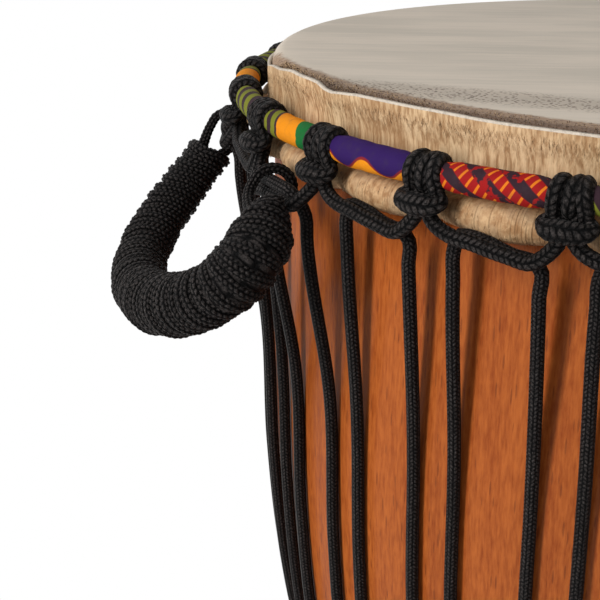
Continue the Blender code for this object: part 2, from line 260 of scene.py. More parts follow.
def ripple(angle, seed, first, last):
    """A wave round the drum, about -1 to 1, made of whole numbers of periods."""
    random = np.random.default_rng(seed)
    total = np.zeros_like(np.asarray(angle, float))
    for count in range(first, last + 1):
        total += random.uniform(0.4, 1.0) * np.sin(count * angle + random.uniform(0.0, ROUND))
    return total / math.sqrt(last - first + 1)


def knot_swell(angle):
    """0 at each knot of the crown ring, 1 halfway between two."""
    return 0.5 + 0.5 * np.cos(KNOTS * (np.asarray(angle) - math.pi))


def circle(count):
    """Evenly spaced angles once round."""
    return np.linspace(0.0, ROUND, count, endpoint=False)


def unit(rows):
    """Rows scaled to a length of 1."""
    return rows / np.linalg.norm(rows, axis=1)[:, None]


def spline(points, closed, step):
    """Evenly spaced rows on a smooth curve through rows of (x, y, z, thickness), and its length."""
    p = np.asarray(points, float)
    if closed:
        p = np.concatenate([p[-1:], p, p[:2]])
    else:
        p = np.concatenate([2 * p[:1] - p[1:2], p, 2 * p[-1:] - p[-2:-1]])
    chord = np.linalg.norm(np.diff(p[:, :3], axis=0), axis=1)[:, None] + 1e-9
    slope = np.diff(p, axis=0) / chord
    before, after = chord[:-1], chord[1:]
    tangent = (slope[:-1] * after + slope[1:] * before) / (before + after)
    start, end = p[1:-2], p[2:-1]
    h = chord[1:-1][:, None]
    t = np.linspace(0.0, 1.0, 16, endpoint=False)[None, :, None]
    curve = ((2 * t ** 3 - 3 * t ** 2 + 1) * start[:, None]
             + (t ** 3 - 2 * t ** 2 + t) * h * tangent[:-1][:, None]
             + (3 * t ** 2 - 2 * t ** 3) * end[:, None]
             + (t ** 3 - t ** 2) * h * tangent[1:][:, None])
    dense = np.concatenate([curve.reshape(-1, p.shape[1]), p[-2:-1]])
    length = np.concatenate([[0.0], np.cumsum(np.linalg.norm(np.diff(dense[:, :3], axis=0), axis=1))])
    count = max(8, int(round(length[-1] / step)))
    stations = np.linspace(0.0, length[-1], count, endpoint=not closed)
    return np.stack([np.interp(stations, length, column) for column in dense.T], axis=1), length[-1]


def path_frames(path, closed):
    """Two unit vectors across the path at each point, carried along without twist."""
    if closed:
        tangent = unit(np.roll(path, -1, axis=0) - np.roll(path, 1, axis=0))
    else:
        tangent = unit(np.gradient(path, axis=0))
    normal = np.empty_like(path)
    carried = np.cross(tangent[0], (0.3, 0.5, 0.81))
    for i, direction in enumerate(tangent):
        carried = carried - direction * carried.dot(direction)
        carried /= np.linalg.norm(carried)
        normal[i] = carried
    binormal = np.cross(tangent, normal)
    if closed:
        last = carried - tangent[0] * carried.dot(tangent[0])
        twist = math.atan2(last.dot(binormal[0]), last.dot(normal[0]))
        turn = -twist * np.arange(len(path))[:, None] / len(path)
        normal, binormal = (normal * np.cos(turn) + binormal * np.sin(turn),
                            binormal * np.cos(turn) - normal * np.sin(turn))
    return normal, binormal


def plait(along, around, pitch, columns, lean):
    """Height of a plaited cord's strands, from 0 in the grooves to 1 on the crests."""
    column = np.floor(around * columns)
    across = around * columns - column
    odd = column % 2
    phase = along / pitch + (1.0 - 2.0 * odd) * (across - 0.5) * lean + 0.5 * odd
    return np.sqrt(np.abs(np.sin(np.pi * phase)) * np.sin(np.pi * across))


def grid_object(name, points, wrap, uv=None, caps=False, slots=None):
    """A mesh of quads over a grid of points, which may close along its rows and its columns."""
    rows, columns = points.shape[:2]
    i, j = np.meshgrid(np.arange(rows if wrap[0] else rows - 1),
                       np.arange(columns if wrap[1] else columns - 1), indexing="ij")
    i, j = i.ravel(), j.ravel()
    next_i, next_j = (i + 1) % rows, (j + 1) % columns
    corners = ((i, j), (next_i, j), (next_i, next_j), (i, next_j))
    faces = np.stack([a * columns + b for a, b in corners], axis=1).tolist()
    if caps:
        faces.append(list(range(columns)))
        faces.append(list(range((rows - 1) * columns, rows * columns)))
    mesh = bpy.data.meshes.new(name)
    mesh.from_pydata(points.reshape(-1, 3).tolist(), [], faces)
    if uv is not None:
        layer = mesh.uv_layers.new(name="surface")
        u, v = uv
        values = np.zeros((len(mesh.loops), 2), np.float32)
        places = ((i, j), (i + 1, j), (i + 1, j + 1), (i, j + 1))
        flat = np.stack([np.stack([u[a], v[b]], axis=1) for a, b in places], axis=1)
        values[:flat.size // 2] = flat.reshape(-1, 2)
        layer.data.foreach_set("uv", values.ravel())
    if slots is not None:
        mesh.polygons.foreach_set("material_index", slots(i, j).astype(np.int32))
    return link_object(name, mesh)


def link_object(name, mesh):
    """Clean a mesh, turn its faces outward, shade it smooth and link it."""
    work = bmesh.new()
    work.from_mesh(mesh)
    bmesh.ops.remove_doubles(work, verts=work.verts, dist=1e-7)
    bmesh.ops.recalc_face_normals(work, faces=work.faces)
    work.to_mesh(mesh)
    work.free()
    mesh.shade_smooth()
    obj = bpy.data.objects.new(name, mesh)
    bpy.context.scene.collection.objects.link(obj)
    return obj


# The plait of a cord that has none of its own: pitch, columns of strands and their lean
PLAIT = 0.0024
PLAIT_COLUMNS = 4
PLAIT_LEAN = 0.9


def tube(name, points, radius, sides, step, closed, relief=0.0,
         pitch=PLAIT, columns=PLAIT_COLUMNS, lean=PLAIT_LEAN):
    """A plaited cord along rows of (x, y, z, thickness)."""
    rows, length = spline(points, closed, step)
    path, thickness = rows[:, :3], rows[:, 3:4]
    normal, binormal = path_frames(path, closed)
    around = np.arange(sides) / sides
    along = np.arange(len(path) + 1) * (length / (len(path) if closed else len(path) - 1))
    swell = 1.0
    if relief:
        height = plait(along[:len(path), None], around[None, :], pitch, columns, lean)
        swell = 1.0 + relief * (height - 0.6)
    reach = radius * thickness * swell * np.ones((len(path), sides))
    angle = (ROUND * around)[None, :, None]
    ring = np.cos(angle) * normal[:, None] + np.sin(angle) * binormal[:, None]
    points = path[:, None] + reach[:, :, None] * ring
    v = np.arange(sides + 1) / sides
    return grid_object(name, points, (closed, True), (along, v), caps=not closed)


def with_thickness(points):
    """Rows of (x, y, z, thickness) from plain points, all as thick as the cord."""
    points = np.asarray(points, float)
    return np.concatenate([points, np.ones((len(points), 1))], axis=1)


def set_round(angle, r, z):
    """Points at angles round the axis, and the unit vectors outward and sideways there."""
    cos, sin, level = np.cos(angle), np.sin(angle), np.zeros(len(angle))
    out = np.stack([cos, sin, level], axis=1)
    side = np.stack([-sin, cos, level], axis=1)
    return np.stack([r * cos, r * sin, z], axis=1), out, side


# A hair's seven points: a triangle at its root, one at its bend, and its tip
HAIR_POINTS = 7
HAIR_FACES = ((0, 2, 1), (0, 1, 4, 3), (1, 2, 5, 4), (2, 0, 3, 5), (3, 4, 6), (4, 5, 6), (5, 3, 6))


def hairs(name, root, direction, normal, length, width, lift, tone):
    """Closed tapered hairs: rows of roots, unit directions and surface normals."""
    side = np.cross(direction, normal)
    bend = root + direction * (0.55 * length)[:, None] + normal * (0.7 * lift)[:, None]
    tip = root + direction * length[:, None] + normal * lift[:, None]
    parts = []
    for centre, scale in ((root, 1.0), (bend, 0.75)):
        for turn in np.radians((90.0, 210.0, 330.0)):
            across = math.cos(turn) * side + 0.6 * math.sin(turn) * normal
            parts.append(centre + scale * width[:, None] * across)
    parts.append(tip)
    points = np.stack(parts, axis=1)
    starts = np.arange(len(root)) * HAIR_POINTS
    faces = []
    for corners in HAIR_FACES:
        faces += (starts[:, None] + np.array(corners)[None, :]).tolist()
    mesh = bpy.data.meshes.new(name)
    mesh.from_pydata(points.reshape(-1, 3).tolist(), [], faces)
    layer = mesh.attributes.new("tone", "FLOAT", "POINT")
    layer.data.foreach_set("value", np.repeat(tone, HAIR_POINTS).astype(np.float32))
    return link_object(name, mesh)


class Value:
    """What a node gives; arithmetic on it adds nodes."""

    def __init__(self, nodes, socket):
        self.nodes = nodes
        self.socket = socket

    def __add__(self, other):
        return self.nodes.math("ADD", self, other)

    def __sub__(self, other):
        return self.nodes.math("SUBTRACT", self, other)

    def __rsub__(self, other):
        return self.nodes.math("SUBTRACT", other, self)

    def __mul__(self, other):
        return self.nodes.math("MULTIPLY", self, other)

    def __truediv__(self, other):
        return self.nodes.math("DIVIDE", self, other)


class Nodes:
    """A node tree with short calls: what comes from a node is linked, any other value is set."""

    def __init__(self, tree):
        self.tree = tree

    def add(self, kind, inputs=None, **settings):
        """Add a node, set its settings, then fill its inputs."""
        node = self.tree.nodes.new(kind)
        for name, value in settings.items():
            setattr(node, name, value)
        for name, value in (inputs or {}).items():
            self.fill(node.inputs[name], value)
        return node

    def fill(self, socket, value):
        """Link a socket to another, or set its value."""
        if isinstance(value, Value):
            value = value.socket
        if isinstance(value, bpy.types.NodeSocket):
            self.tree.links.new(value, socket)
        elif socket.type == "RGBA" and len(value) == 3:
            socket.default_value = (*value, 1.0)
        else:
            socket.default_value = value

    def value(self, node, output=0):
        """One of a node's outputs, as a number."""
        return Value(self, node.outputs[output])

    def values(self, node):
        """All of a node's outputs by name."""
        return {socket.name: Value(self, socket) for socket in node.outputs}

    def math(self, operation, a, b=0.0, clamp=False):
        """One arithmetic step."""
        return self.value(self.add("ShaderNodeMath", {0: a, 1: b}, operation=operation, use_clamp=clamp))

    def pingpong(self, value):
        """A value that runs from 0 to a half and back, once for each whole number."""
        return self.math("PINGPONG", value, 0.5)

    def vector(self, operation, a, b=(0.0, 0.0, 0.0)):
        """One step of vector arithmetic."""
        return self.add("ShaderNodeVectorMath", {0: a, 1: b}, operation=operation)

    def scaled(self, vector, factors):
        """A vector times three factors."""
        return self.vector("MULTIPLY", vector, factors).outputs[0]

    def split(self, vector):
        """A vector's first two numbers."""
        node = self.add("ShaderNodeSeparateXYZ", {0: vector})
        return self.value(node, 0), self.value(node, 1)

    def noise(self, vector, scale, detail=4.0, roughness=0.55):
        """Cloudy noise from 0 to 1."""
        inputs = {"Vector": vector, "Scale": scale, "Detail": detail, "Roughness": roughness}
        return self.value(self.add("ShaderNodeTexNoise", inputs))

    def drawn_noise(self, vector, factors, detail=4.0, roughness=0.55):
        """Noise with its own scale along each axis."""
        return self.noise(self.scaled(vector, factors), 1.0, detail, roughness)

    def step(self, value, low, high):
        """A smooth step from 0 at low to 1 at high."""
        inputs = {"Value": value, "From Min": low, "From Max": high}
        return self.value(self.add("ShaderNodeMapRange", inputs, interpolation_type="SMOOTHSTEP"))

    def mix(self, factor, a, b, blend="MIX"):
        """A mix of two colours."""
        node = self.add("ShaderNodeMix", data_type="RGBA", blend_type=blend)
        for index, value in ((0, factor), (6, a), (7, b)):
            self.fill(node.inputs[index], value)
        return node.outputs[2]

    def group(self, name, **inputs):
        """Place a shared node group."""
        node = self.tree.nodes.new("ShaderNodeGroup")
        node.node_tree = bpy.data.node_groups[name]
        for key, value in inputs.items():
            self.fill(node.inputs[key], value)
        return self.values(node)

    def place(self):
        """Coordinates in metres in the drum's own frame."""
        return self.add("ShaderNodeTexCoord").outputs["Object"]

    def uv(self):
        """The surface's own coordinates: along it and around it."""
        return self.add("ShaderNodeUVMap", uv_map="surface").outputs[0]

    def seen(self):
        """1 for what the camera sees, straight, mirrored or through something clear, and 0 for light."""
        path = self.values(self.add("ShaderNodeLightPath"))
        seen = path["Is Camera Ray"] + path["Is Glossy Ray"]
        return self.math("ADD", seen, path["Is Transmission Ray"], True)


class Finish(Nodes):
    """A material with one Principled shader."""

    def __init__(self, name, roughness, **constants):
        self.material = bpy.data.materials.new(name)
        self.material.use_nodes = True
        super().__init__(self.material.node_tree)
        self.shader = self.tree.nodes["Principled BSDF"]
        self.shader.inputs["Roughness"].default_value = roughness
        for key, value in constants.items():
            self.shader.inputs[key.replace("_", " ")].default_value = value

    def colour(self, value):
        """Set the base colour."""
        self.fill(self.shader.inputs["Base Color"], value)

    def rough(self, value):
        """Let the roughness change over the surface."""
        self.fill(self.shader.inputs["Roughness"], value)

    def bump(self, height, strength, distance):
        """Raise the surface by a height from 0 to 1."""
        inputs = {"Height": height, "Strength": strength, "Distance": distance}
        node = self.add("ShaderNodeBump", inputs)
        self.fill(self.shader.inputs["Normal"], node.outputs[0])


def new_group(name, outputs, **inputs):
    """An empty shader node group; an input is a number with its default, or a vector if that is None."""
    tree = bpy.data.node_groups.new(name, "ShaderNodeTree")
    for key, value in inputs.items():
        kind = "NodeSocketVector" if value is None else "NodeSocketFloat"
        socket = tree.interface.new_socket(key, in_out="INPUT", socket_type=kind)
        if value is not None:
            socket.default_value = value
    for key in outputs:
        tree.interface.new_socket(key, in_out="OUTPUT", socket_type="NodeSocketFloat")
    nodes = Nodes(tree)
    source = nodes.values(nodes.add("NodeGroupInput"))
    return nodes, source, nodes.add("NodeGroupOutput").inputs


def make_streaks():
    """Long fibres: noise drawn out along one axis, with broad bands under fine threads."""
    nodes, source, target = new_group("Streaks", ("Fine", "Broad"), Vector=None, Across=900.0, Along=40.0)
    across = source["Across"]
    factors = nodes.add("ShaderNodeCombineXYZ", {0: across, 1: across, 2: source["Along"]})
    drawn = nodes.scaled(source["Vector"], factors.outputs[0])
    nodes.fill(target["Fine"], nodes.noise(drawn, 1.0, 3.0, 0.6))
    nodes.fill(target["Broad"], nodes.noise(drawn, 0.16, 3.0, 0.5))


def make_plait():
    """Height of a plaited cord's strands, from its coordinates along and around it."""
    nodes, source, target = new_group(
        "Plait", ("Height",), Pitch=PLAIT, Columns=PLAIT_COLUMNS, Lean=PLAIT_LEAN)
    along, around = nodes.split(nodes.uv())
    around = around * source["Columns"]
    across = nodes.math("FRACT", around)
    odd = nodes.math("MODULO", nodes.math("FLOOR", around), 2.0)
    slant = (1.0 - odd * 2.0) * source["Lean"] * (across - 0.5)
    phase = along / source["Pitch"] + slant + odd * 0.5
    strand = nodes.math("ABSOLUTE", nodes.math("SINE", phase * math.pi))
    crown = nodes.math("SINE", across * math.pi)
    nodes.fill(target["Height"], nodes.math("SQRT", strand * crown))


def make_specks():
    """Small separate specks, in a share of a cell pattern's cells."""
    nodes, source, target = new_group("Specks", ("Mask",), Vector=None, Scale=800.0, Size=0.3, Share=0.5)
    inputs = {"Vector": source["Vector"], "Scale": source["Scale"]}
    cells = nodes.values(nodes.add("ShaderNodeTexVoronoi", inputs))
    outside = nodes.step(cells["Distance"], source["Size"] * 0.6, source["Size"])
    chance = nodes.value(nodes.add("ShaderNodeSeparateColor", {0: cells["Color"]}))
    chosen = nodes.math("LESS_THAN", chance, source["Share"])
    nodes.fill(target["Mask"], (1.0 - outside) * chosen)


def shade(colour, factor):
    """A colour made darker or lighter."""
    return tuple(factor * v for v in colour)


def wood_finish(c):
    """Varnished hardwood with upright grain, pores and broad bands."""
    f = Finish("varnished_wood", 0.45, Specular_IOR_Level=0.03, Coat_Weight=0.16, Coat_Roughness=0.25)
    place = f.place()
    grain = f.group("Streaks", Vector=place, Across=1100.0, Along=150.0)["Fine"]
    bands = f.group("Streaks", Vector=place, Across=260.0, Along=5.0)
    figure = f.drawn_noise(place, (420.0, 420.0, 200.0), 4.0, 0.6)
    tone = grain * 0.42 + bands["Fine"] * 0.24 + bands["Broad"] * 0.17 + figure * 0.17
    colour = f.mix(f.step(tone, 0.33, 0.64), c.wood_dark, c.wood_light)
    upright = f.scaled(place, (1.0, 1.0, 0.12))
    pores = f.group("Specks", Vector=upright, Scale=900.0, Size=0.34, Share=0.32)["Mask"]
    f.colour(f.mix(pores * 0.45, colour, (0.10, 0.022, 0.008)))
    f.rough(f.step(grain, -0.6, 1.6))
    f.bump(grain - pores * 0.6, 0.22, 0.0004)
    return f.material


def raw_wood_finish(c):
    """Chiselled, unvarnished wood of the bore and the foot's edge."""
    f = Finish("raw_wood", 0.8, Specular_IOR_Level=0.15)
    place = f.place()
    grain = f.group("Streaks", Vector=place, Across=800.0, Along=30.0)["Fine"]
    stain = f.noise(place, 22.0)
    colour = f.mix(f.step(grain, 0.3, 0.7), shade(c.wood_raw, 0.62), c.wood_raw)
    f.colour(f.mix(f.step(stain, 0.35, 0.75), colour, (0.20, 0.10, 0.045)))
    f.bump(grain, 0.4, 0.0006)
    return f.material


def head_finish(c):
    """Shaved playing surface: grey and cream streaks, and hair roots near the rim."""
    f = Finish("shaved_skin", 0.62, Specular_IOR_Level=0.15)
    place = f.place()
    spin = {"Vector": place, "Rotation": (0.0, 0.0, math.radians(14.0))}
    turned = f.add("ShaderNodeMapping", spin).outputs[0]
    streak = f.drawn_noise(turned, (26.0, 420.0, 30.0), 4.0, 0.6)
    cloud = f.drawn_noise(turned, (11.0, 40.0, 11.0))
    colour = f.mix(f.step(streak * 0.32 + cloud * 0.68, 0.36, 0.64), c.skin_grey, c.skin)

    side = (math.cos(HAIRY_ANGLE), math.sin(HAIRY_ANGLE), 0.0)
    moved = f.vector("ADD", f.scaled(place, (1.0, 1.0, 0.0)), shade(side, SHAVED_SHIFT))
    beyond = f.value(f.vector("LENGTH", moved.outputs[0]), "Value") - SHAVED_RADIUS
    ragged = beyond + (cloud - 0.5) * 0.008 + (f.noise(place, 420.0) - 0.5) * 0.005
    colour = f.mix(f.step(ragged, -0.006, -0.001) * 0.6, colour, (0.66, 0.575, 0.47))
    brown = f.step(ragged, -0.0012, 0.0022)
    colour = f.mix(brown * 0.85, colour, (0.27, 0.155, 0.082))
    colour = f.mix(f.step(ragged, 0.0040, 0.0090) * 0.75, colour, (0.11, 0.060, 0.036))

    spine = f.value(f.vector("DOT_PRODUCT", place, side), "Value") + (cloud - 0.5) * 0.012
    ring = f.step(spine, 0.107, 0.117) * f.step(spine, 0.136, 0.125)
    colour = f.mix(ring * 0.36, colour, (0.24, 0.185, 0.135))
    sown = f.math("ADD", ring, brown * 0.8, True)
    root = f.group("Specks", Vector=place, Scale=760.0, Size=0.46, Share=0.85)["Mask"]
    faint = f.group("Specks", Vector=place, Scale=1500.0, Size=0.4, Share=0.2)["Mask"]
    spots = f.math("MULTIPLY", root, sown, True)
    colour = f.mix(spots * 0.8, colour, c.stubble)
    f.colour(f.mix(faint * 0.10, colour, (0.30, 0.25, 0.20)))
    f.bump(streak + spots * -0.8, 0.18, 0.0004)
    return f.material


def coat_colour(f, c, across, along):
    """Colour and height of short animal hair that lies along the drum's axis."""
    place = f.place()
    thread = f.group("Streaks", Vector=place, Across=across, Along=along)
    tone = thread["Fine"] * 0.55 + thread["Broad"] * 0.30 + f.noise(place, 70.0, 3.0) * 0.25
    return f.mix(f.step(tone, 0.40, 0.70), c.hair_dark, c.hair_light), thread["Fine"]


def collar_finish(c):
    """Hairy outside of the collar, with painted shade in the grooves between its hairs."""
    f = Finish("collar_hair_side", 0.7, Specular_IOR_Level=0.15)
    colour, height = coat_colour(f, c, 950.0, 110.0)
    # Painted shade: where the hairs' bump is low, the colour sinks below the darkest hair.
    f.colour(f.mix(f.step(height, 0.54, 0.30) * 0.5, colour, shade(c.hair_dark, 0.8)))
    f.bump(height, 0.8, 0.0007)
    return f.material


def fold_finish(c):
    """Pale roll of the folded skin: short hairs, creases across it darkened with painted shade, and dark
    flecks.
    """
    f = Finish("fold_skin", 0.7, Specular_IOR_Level=0.15)
    place = f.place()
    colour, height = coat_colour(f, c, 520.0, 420.0)
    pale = f.step(f.noise(place, 120.0, 3.0), 0.40, 0.66)
    colour = f.mix(pale * 0.6, colour, (0.53, 0.39, 0.25))
    line = f.step(f.drawn_noise(f.uv(), (1500.0, 3.0, 1.0), 3.0), 0.36, 0.46)
    fleck = f.group("Specks", Vector=place, Scale=420.0, Size=0.24, Share=0.16)["Mask"]
    # Painted shade: the creases, where line is low and the bump sinks, are coloured dark brown.
    colour = f.mix((1.0 - line) * 0.34, colour, (0.20, 0.11, 0.05))
    colour = f.mix(1.0, colour, (0.84, 0.78, 0.72), "MULTIPLY")
    f.colour(f.mix(fleck * 0.6, colour, (0.12, 0.07, 0.04)))
    f.bump(height + line, 0.6, 0.0006)
    return f.material


def cut_finish(c):
    """Cut edge of the collar: cream and fibrous."""
    f = Finish("cut_skin", 0.8, Specular_IOR_Level=0.15)
    fibre = f.noise(f.place(), 900.0, 3.0)
    f.colour(f.mix(f.step(fibre, 0.3, 0.6), shade(c.cut, 0.72), c.cut))
    f.bump(fibre, 0.5, 0.0004)
    return f.material


def hair_finish(c):
    """Single hairs, each with its own tone."""
    f = Finish("single_hair", 0.55, Specular_IOR_Level=0.15)
    tone = f.value(f.add("ShaderNodeAttribute", attribute_name="tone"), "Fac")
    tone = tone + (f.noise(f.place(), 600.0, 2.0) - 0.5) * 0.2
    f.colour(f.mix(f.step(tone, 0.0, 1.0), shade(c.hair_dark, 0.85), shade(c.hair_light, 1.2)))
    return f.material


def stubble_hair_finish(c):
    """Shaved hair ends, dark to tan."""
    f = Finish("stubble_hair", 0.6, Specular_IOR_Level=0.15)
    tone = f.value(f.add("ShaderNodeAttribute", attribute_name="tone"), "Fac")
    f.colour(f.mix(f.step(tone, 0.0, 0.9), c.stubble, c.hair_light))
    return f.material


def cord_finish(c, name, pitch, columns, strength, lean=PLAIT_LEAN):
    """Black plaited cord: painted shade in the grooves, a painted grey highlight on the crests, and fuzz
    along it.
    """
    f = Finish(name, 0.42, Sheen_Weight=0.03, Sheen_Roughness=0.4, Specular_IOR_Level=0.045)
    height = f.group("Plait", Pitch=pitch, Columns=columns, Lean=lean)["Height"]
    place = f.place()
    fibre = f.noise(place, 2600.0, 3.0)
    thread = f.drawn_noise(f.uv(), (1.25 / pitch, 18.0, 1.0), 3.0)
    # Painted highlight: the plait's crests and raised threads are coloured lighter in noisy patches, and
    # the grooves darker as painted shade.
    highlight_patches = f.noise(place, 90.0, 3.0)
    crest_highlight = f.step(height * 0.55 + thread * 0.80, 0.60, 1.02) * f.step(fibre, 0.25, 0.75)
    crest_highlight = f.math("MULTIPLY", crest_highlight, highlight_patches * 1.3 + 0.35, True)
    f.colour(f.mix(crest_highlight, c.cord_groove_shade, c.cord))
    f.bump(height + thread * 0.9 + fibre * 0.5, strength, 0.0006)
    return f.material


def olive_print(f, c, along, around):
    """Olive with dark slanting bands."""
    band = f.step(f.pingpong(along * 5.0 + around * 2.0), 0.20, 0.27)
    return f.mix(band, c.outline, c.olive)


def orange_print(f, c, along, around):
    """Three blocks: olive bands, orange and green, parted by dark slanting lines."""
    slant = along + f.pingpong(around) * 0.30
    bands = f.step(f.pingpong(slant * 7.0), 0.20, 0.27)
    colour = f.mix(bands, c.outline, c.olive)
    colour = f.mix(f.step(slant, 0.41, 0.42), colour, c.orange)
    colour = f.mix(f.step(slant, 0.73, 0.74), colour, c.green)
    line = 1.0 - f.step(f.math("ABSOLUTE", slant - 0.42), 0.008, 0.018)
    return f.mix(line, colour, c.outline)


def violet_print(f, c, along, around):
    """Violet with an orange hem of rounded steps, outlined in dark red."""
    hem = f.math("SINE", along * (5.0 * math.pi)) * 0.085 + 0.185
    below = f.pingpong(around + 0.25) - hem
    colour = f.mix(f.step(below, -0.006, 0.006), c.orange, c.violet)
    line = 1.0 - f.step(f.math("ABSOLUTE", below), 0.010, 0.022)
    return f.mix(line, colour, (0.20, 0.018, 0.020))


def red_print(f, c, along, around):
    """Red with rows of short orange dashes and dark blocks."""
    row = f.pingpong(along * 4.0 + around * 3.0)
    other = f.pingpong(along * 13.0 - around * 5.0)
    colour = f.mix(f.step(row, 0.24, 0.28) * f.step(other, 0.34, 0.40), c.red, (0.66, 0.17, 0.012))
    blot = f.step(f.noise(f.place(), 330.0, 2.0), 0.40, 0.46)
    return f.mix(f.step(row, 0.27, 0.21) * blot, colour, c.outline)


# The strips' prints, in their order round the crown ring
PRINTS = {
    "cotton_olive": olive_print,
    "cotton_orange": orange_print,
    "cotton_violet": violet_print,
    "cotton_red": red_print,
}


def cotton_finish(c, name):
    """A printed strip, with the thread and soiling that all strips share."""
    f = Finish(name, 0.65, Specular_IOR_Level=0.06)
    along, around = f.split(f.uv())
    colour = PRINTS[name](f, c, f.math("FRACT", along), around)
    soil = f.step(f.noise(f.place(), 260.0, 3.0), 0.5, 0.8)
    f.colour(f.mix(soil * 0.28, colour, (0.05, 0.035, 0.04)))
    f.bump(f.drawn_noise(f.uv(), (900.0, 60.0, 1.0), 2.0), 0.25, 0.0003)
    return f.material


def iron_finish():
    """Plain iron rod with rust in patches."""
    f = Finish("ring_iron", 0.55, Metallic=0.85)
    place = f.place()
    rust = f.step(f.noise(place, 160.0, 5.0), 0.48, 0.66)
    f.colour(f.mix(rust, (0.10, 0.10, 0.105), (0.20, 0.075, 0.03)))
    f.rough(f.step(rust, -1.0, 1.4))
    f.bump(f.noise(place, 700.0), 0.4, 0.0003)
    return f.material


def dress(obj, body, slot, materials, *nodes):
    """Give a piece its finish, the body it rides on and the CAD nodes it stands for."""
    for material in materials:
        obj.data.materials.append(material)
    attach(obj, body)
    if nodes:
        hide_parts(*nodes)


def turned_points(profile, angles):
    """A grid of points: an (r, z) profile for every angle, as two arrays of rows."""
    r, z = profile
    return np.stack([r * np.cos(angles)[:, None], r * np.sin(angles)[:, None], z], axis=2)


# The shell's mesh, and the unevenness of its outside and of its chiselled bore
SHELL_SIDES = 286
SHELL_UNEVEN = 0.00012
CHISEL_MARKS = 34.0
CHISEL_DEPTH = 0.0007


def shell_outline():
    """The shell's closed outline from the bearing edge down, out, and back up the bore, with its slots."""
    rim = quarter(SHELL_RADIUS, BOWL_TOP, 6)
    bowl = curve_points(BOWL_CURVE, 49)
    stem = curve_points(STEM_CURVE, 41)
    foot = np.array([(FOOT_RADIUS - 0.0004, 0.0022), (FOOT_RADIUS - 0.0016, 0.0008),
                     (FOOT_RADIUS - FOOT_CHAMFER, 0.0), (FOOT_RADIUS - FOOT_WALL + 0.003, 0.0)])
    bore = curve_points(BORE_CURVE, 31)
    hollow = curve_points(HOLLOW_CURVE, 41)
    lip = np.array([(HOLLOW, BOWL_TOP - 0.03), (HOLLOW, BOWL_TOP - 0.009),
                    (SHELL_RADIUS - 0.0088, BOWL_TOP)])
    outline = np.concatenate([rim, bowl, stem, foot, bore, hollow, lip])
    varnished = len(rim) + len(bowl) + len(stem) + len(foot) - 2
    inside = varnished + 3
    return outline, varnished, inside


class DJEMBE_OT_shell(bpy.types.Operator):
    """Turn the carved shell: varnished outside, chiselled bore"""

    bl_idname = "djembe.shell"
    bl_label = "Shell"

    def execute(self, context):
        colours = context.scene.djembe_colours
        outline, varnished, inside = shell_outline()
        angles = circle(SHELL_SIDES)
        turn = angles[:, None]
        r, z = np.repeat(outline.T[:, None, :], SHELL_SIDES, axis=1)
        column = np.arange(len(outline))[None, :]
        uneven = SHELL_UNEVEN * ripple(angles, 11, 4, 23)[:, None] * np.cos(19.0 * z + 3.0 * turn)
        scoop = np.abs(np.sin(CHISEL_MARKS * turn / 2.0 + 260.0 * z))
        chisel = CHISEL_DEPTH * (scoop - 0.5) * ease(z, 0.02, 0.06) * (1.0 - ease(z, 0.56, 0.60))
        r = r + np.where(column < varnished, uneven, 0.0)
        r = r + np.where(column > inside, chisel, 0.0)
        obj = grid_object("carved_shell", turned_points((r, z), angles), (True, True),
                          slots=lambda i, j: (j >= varnished))
        dress(obj, "drum", "shell_wood", [wood_finish(colours), raw_wood_finish(colours)], "shell")
        return {"FINISHED"}


# The skin's rows from the head's middle to the collar's edge, and the cut edge in (degrees, millimetres)
HEAD_STEPS = 14
RIM_STEPS = 6
FOLD_STEPS = 22
COLLAR_STEPS = 14
CUT_SHARE = 0.974
COLLAR_CUT = (
    (20.0, -5.2), (90.0, -5.5), (150.0, -5.5), (166.0, -5.2), (172.0, -4.0), (178.0, -1.3),
    (184.0, 0.5), (189.4, 2.6), (193.6, 2.4), (195.2, 2.0), (196.5, 0.6), (197.8, 0.1),
    (200.1, 1.0), (202.7, 1.8), (208.0, 1.9), (213.0, 2.2), (218.0, 1.8), (232.0, 1.7),
    (252.0, 2.1), (280.0, 0.9), (310.0, -1.0), (340.0, -2.6),
)
COLLAR_FOOT = 0.0022
COLLAR_LEAN = 0.0028
COLLAR_PUCKER = 0.0005
HUG_ANGLE = math.radians(166.0)
HEAD_DIP = 0.00012
FOLD_PINCH = 0.0008
FOLD_UNEVEN = 0.0003
FOLD_TURN = (180.0, 462.0)
COLLAR_HAIRS = 22000
FOLD_HAIRS = 4200
STUBBLE_HAIRS = 9000
HAIR_SINK = 0.0001


def collar_top(angle, sizes):
    """Height and outward lean of the collar's cut edge."""
    degrees, rises = zip(*COLLAR_CUT)
    cut = 0.001 * np.interp(np.degrees(angle) % 360.0, degrees, rises, period=360.0)
    rise = cut + sizes.collar_wave * ripple(angle, 3, 14, 40)
    lean = COLLAR_LEAN + 0.0005 * ripple(angle, 8, 3, 9) + 0.0003 * ripple(angle, 9, 20, 34)
    hug = ease(np.cos(angle - HUG_ANGLE), 0.93, 0.99)
    return HEIGHT + rise, lean * (1.0 - 0.9 * hug)


def collar_point(angle, share, sizes):
    """Middle of the collar's skin (r, z), from its foot at 0 to its cut edge at 1."""
    top, lean = collar_top(angle, sizes)
    foot = FLESH_Z + FOLD_MID + COLLAR_FOOT
    pucker = COLLAR_PUCKER * ripple(angle, 5, 18, 30) * ease(share, 0.3, 0.9)
    return COLLAR_MID + 0.0002 + lean * ease(share, 0.42, 1.02) + pucker, foot + share * (top - foot)


def fold_point(angle, turn, sizes):
    """Middle of the skin (r, z) on its roll, pinched at the knots, at a turn round the flesh ring."""
    swell = knot_swell(angle)
    uneven = FOLD_UNEVEN * ripple(angle, 21, 20, 60)
    size = FOLD_MID - FOLD_PINCH + sizes.fold_bulge * swell ** 0.4 + uneven * swell
    return SKIN_MID + size + size * np.cos(turn), FLESH_Z + size * np.sin(turn)


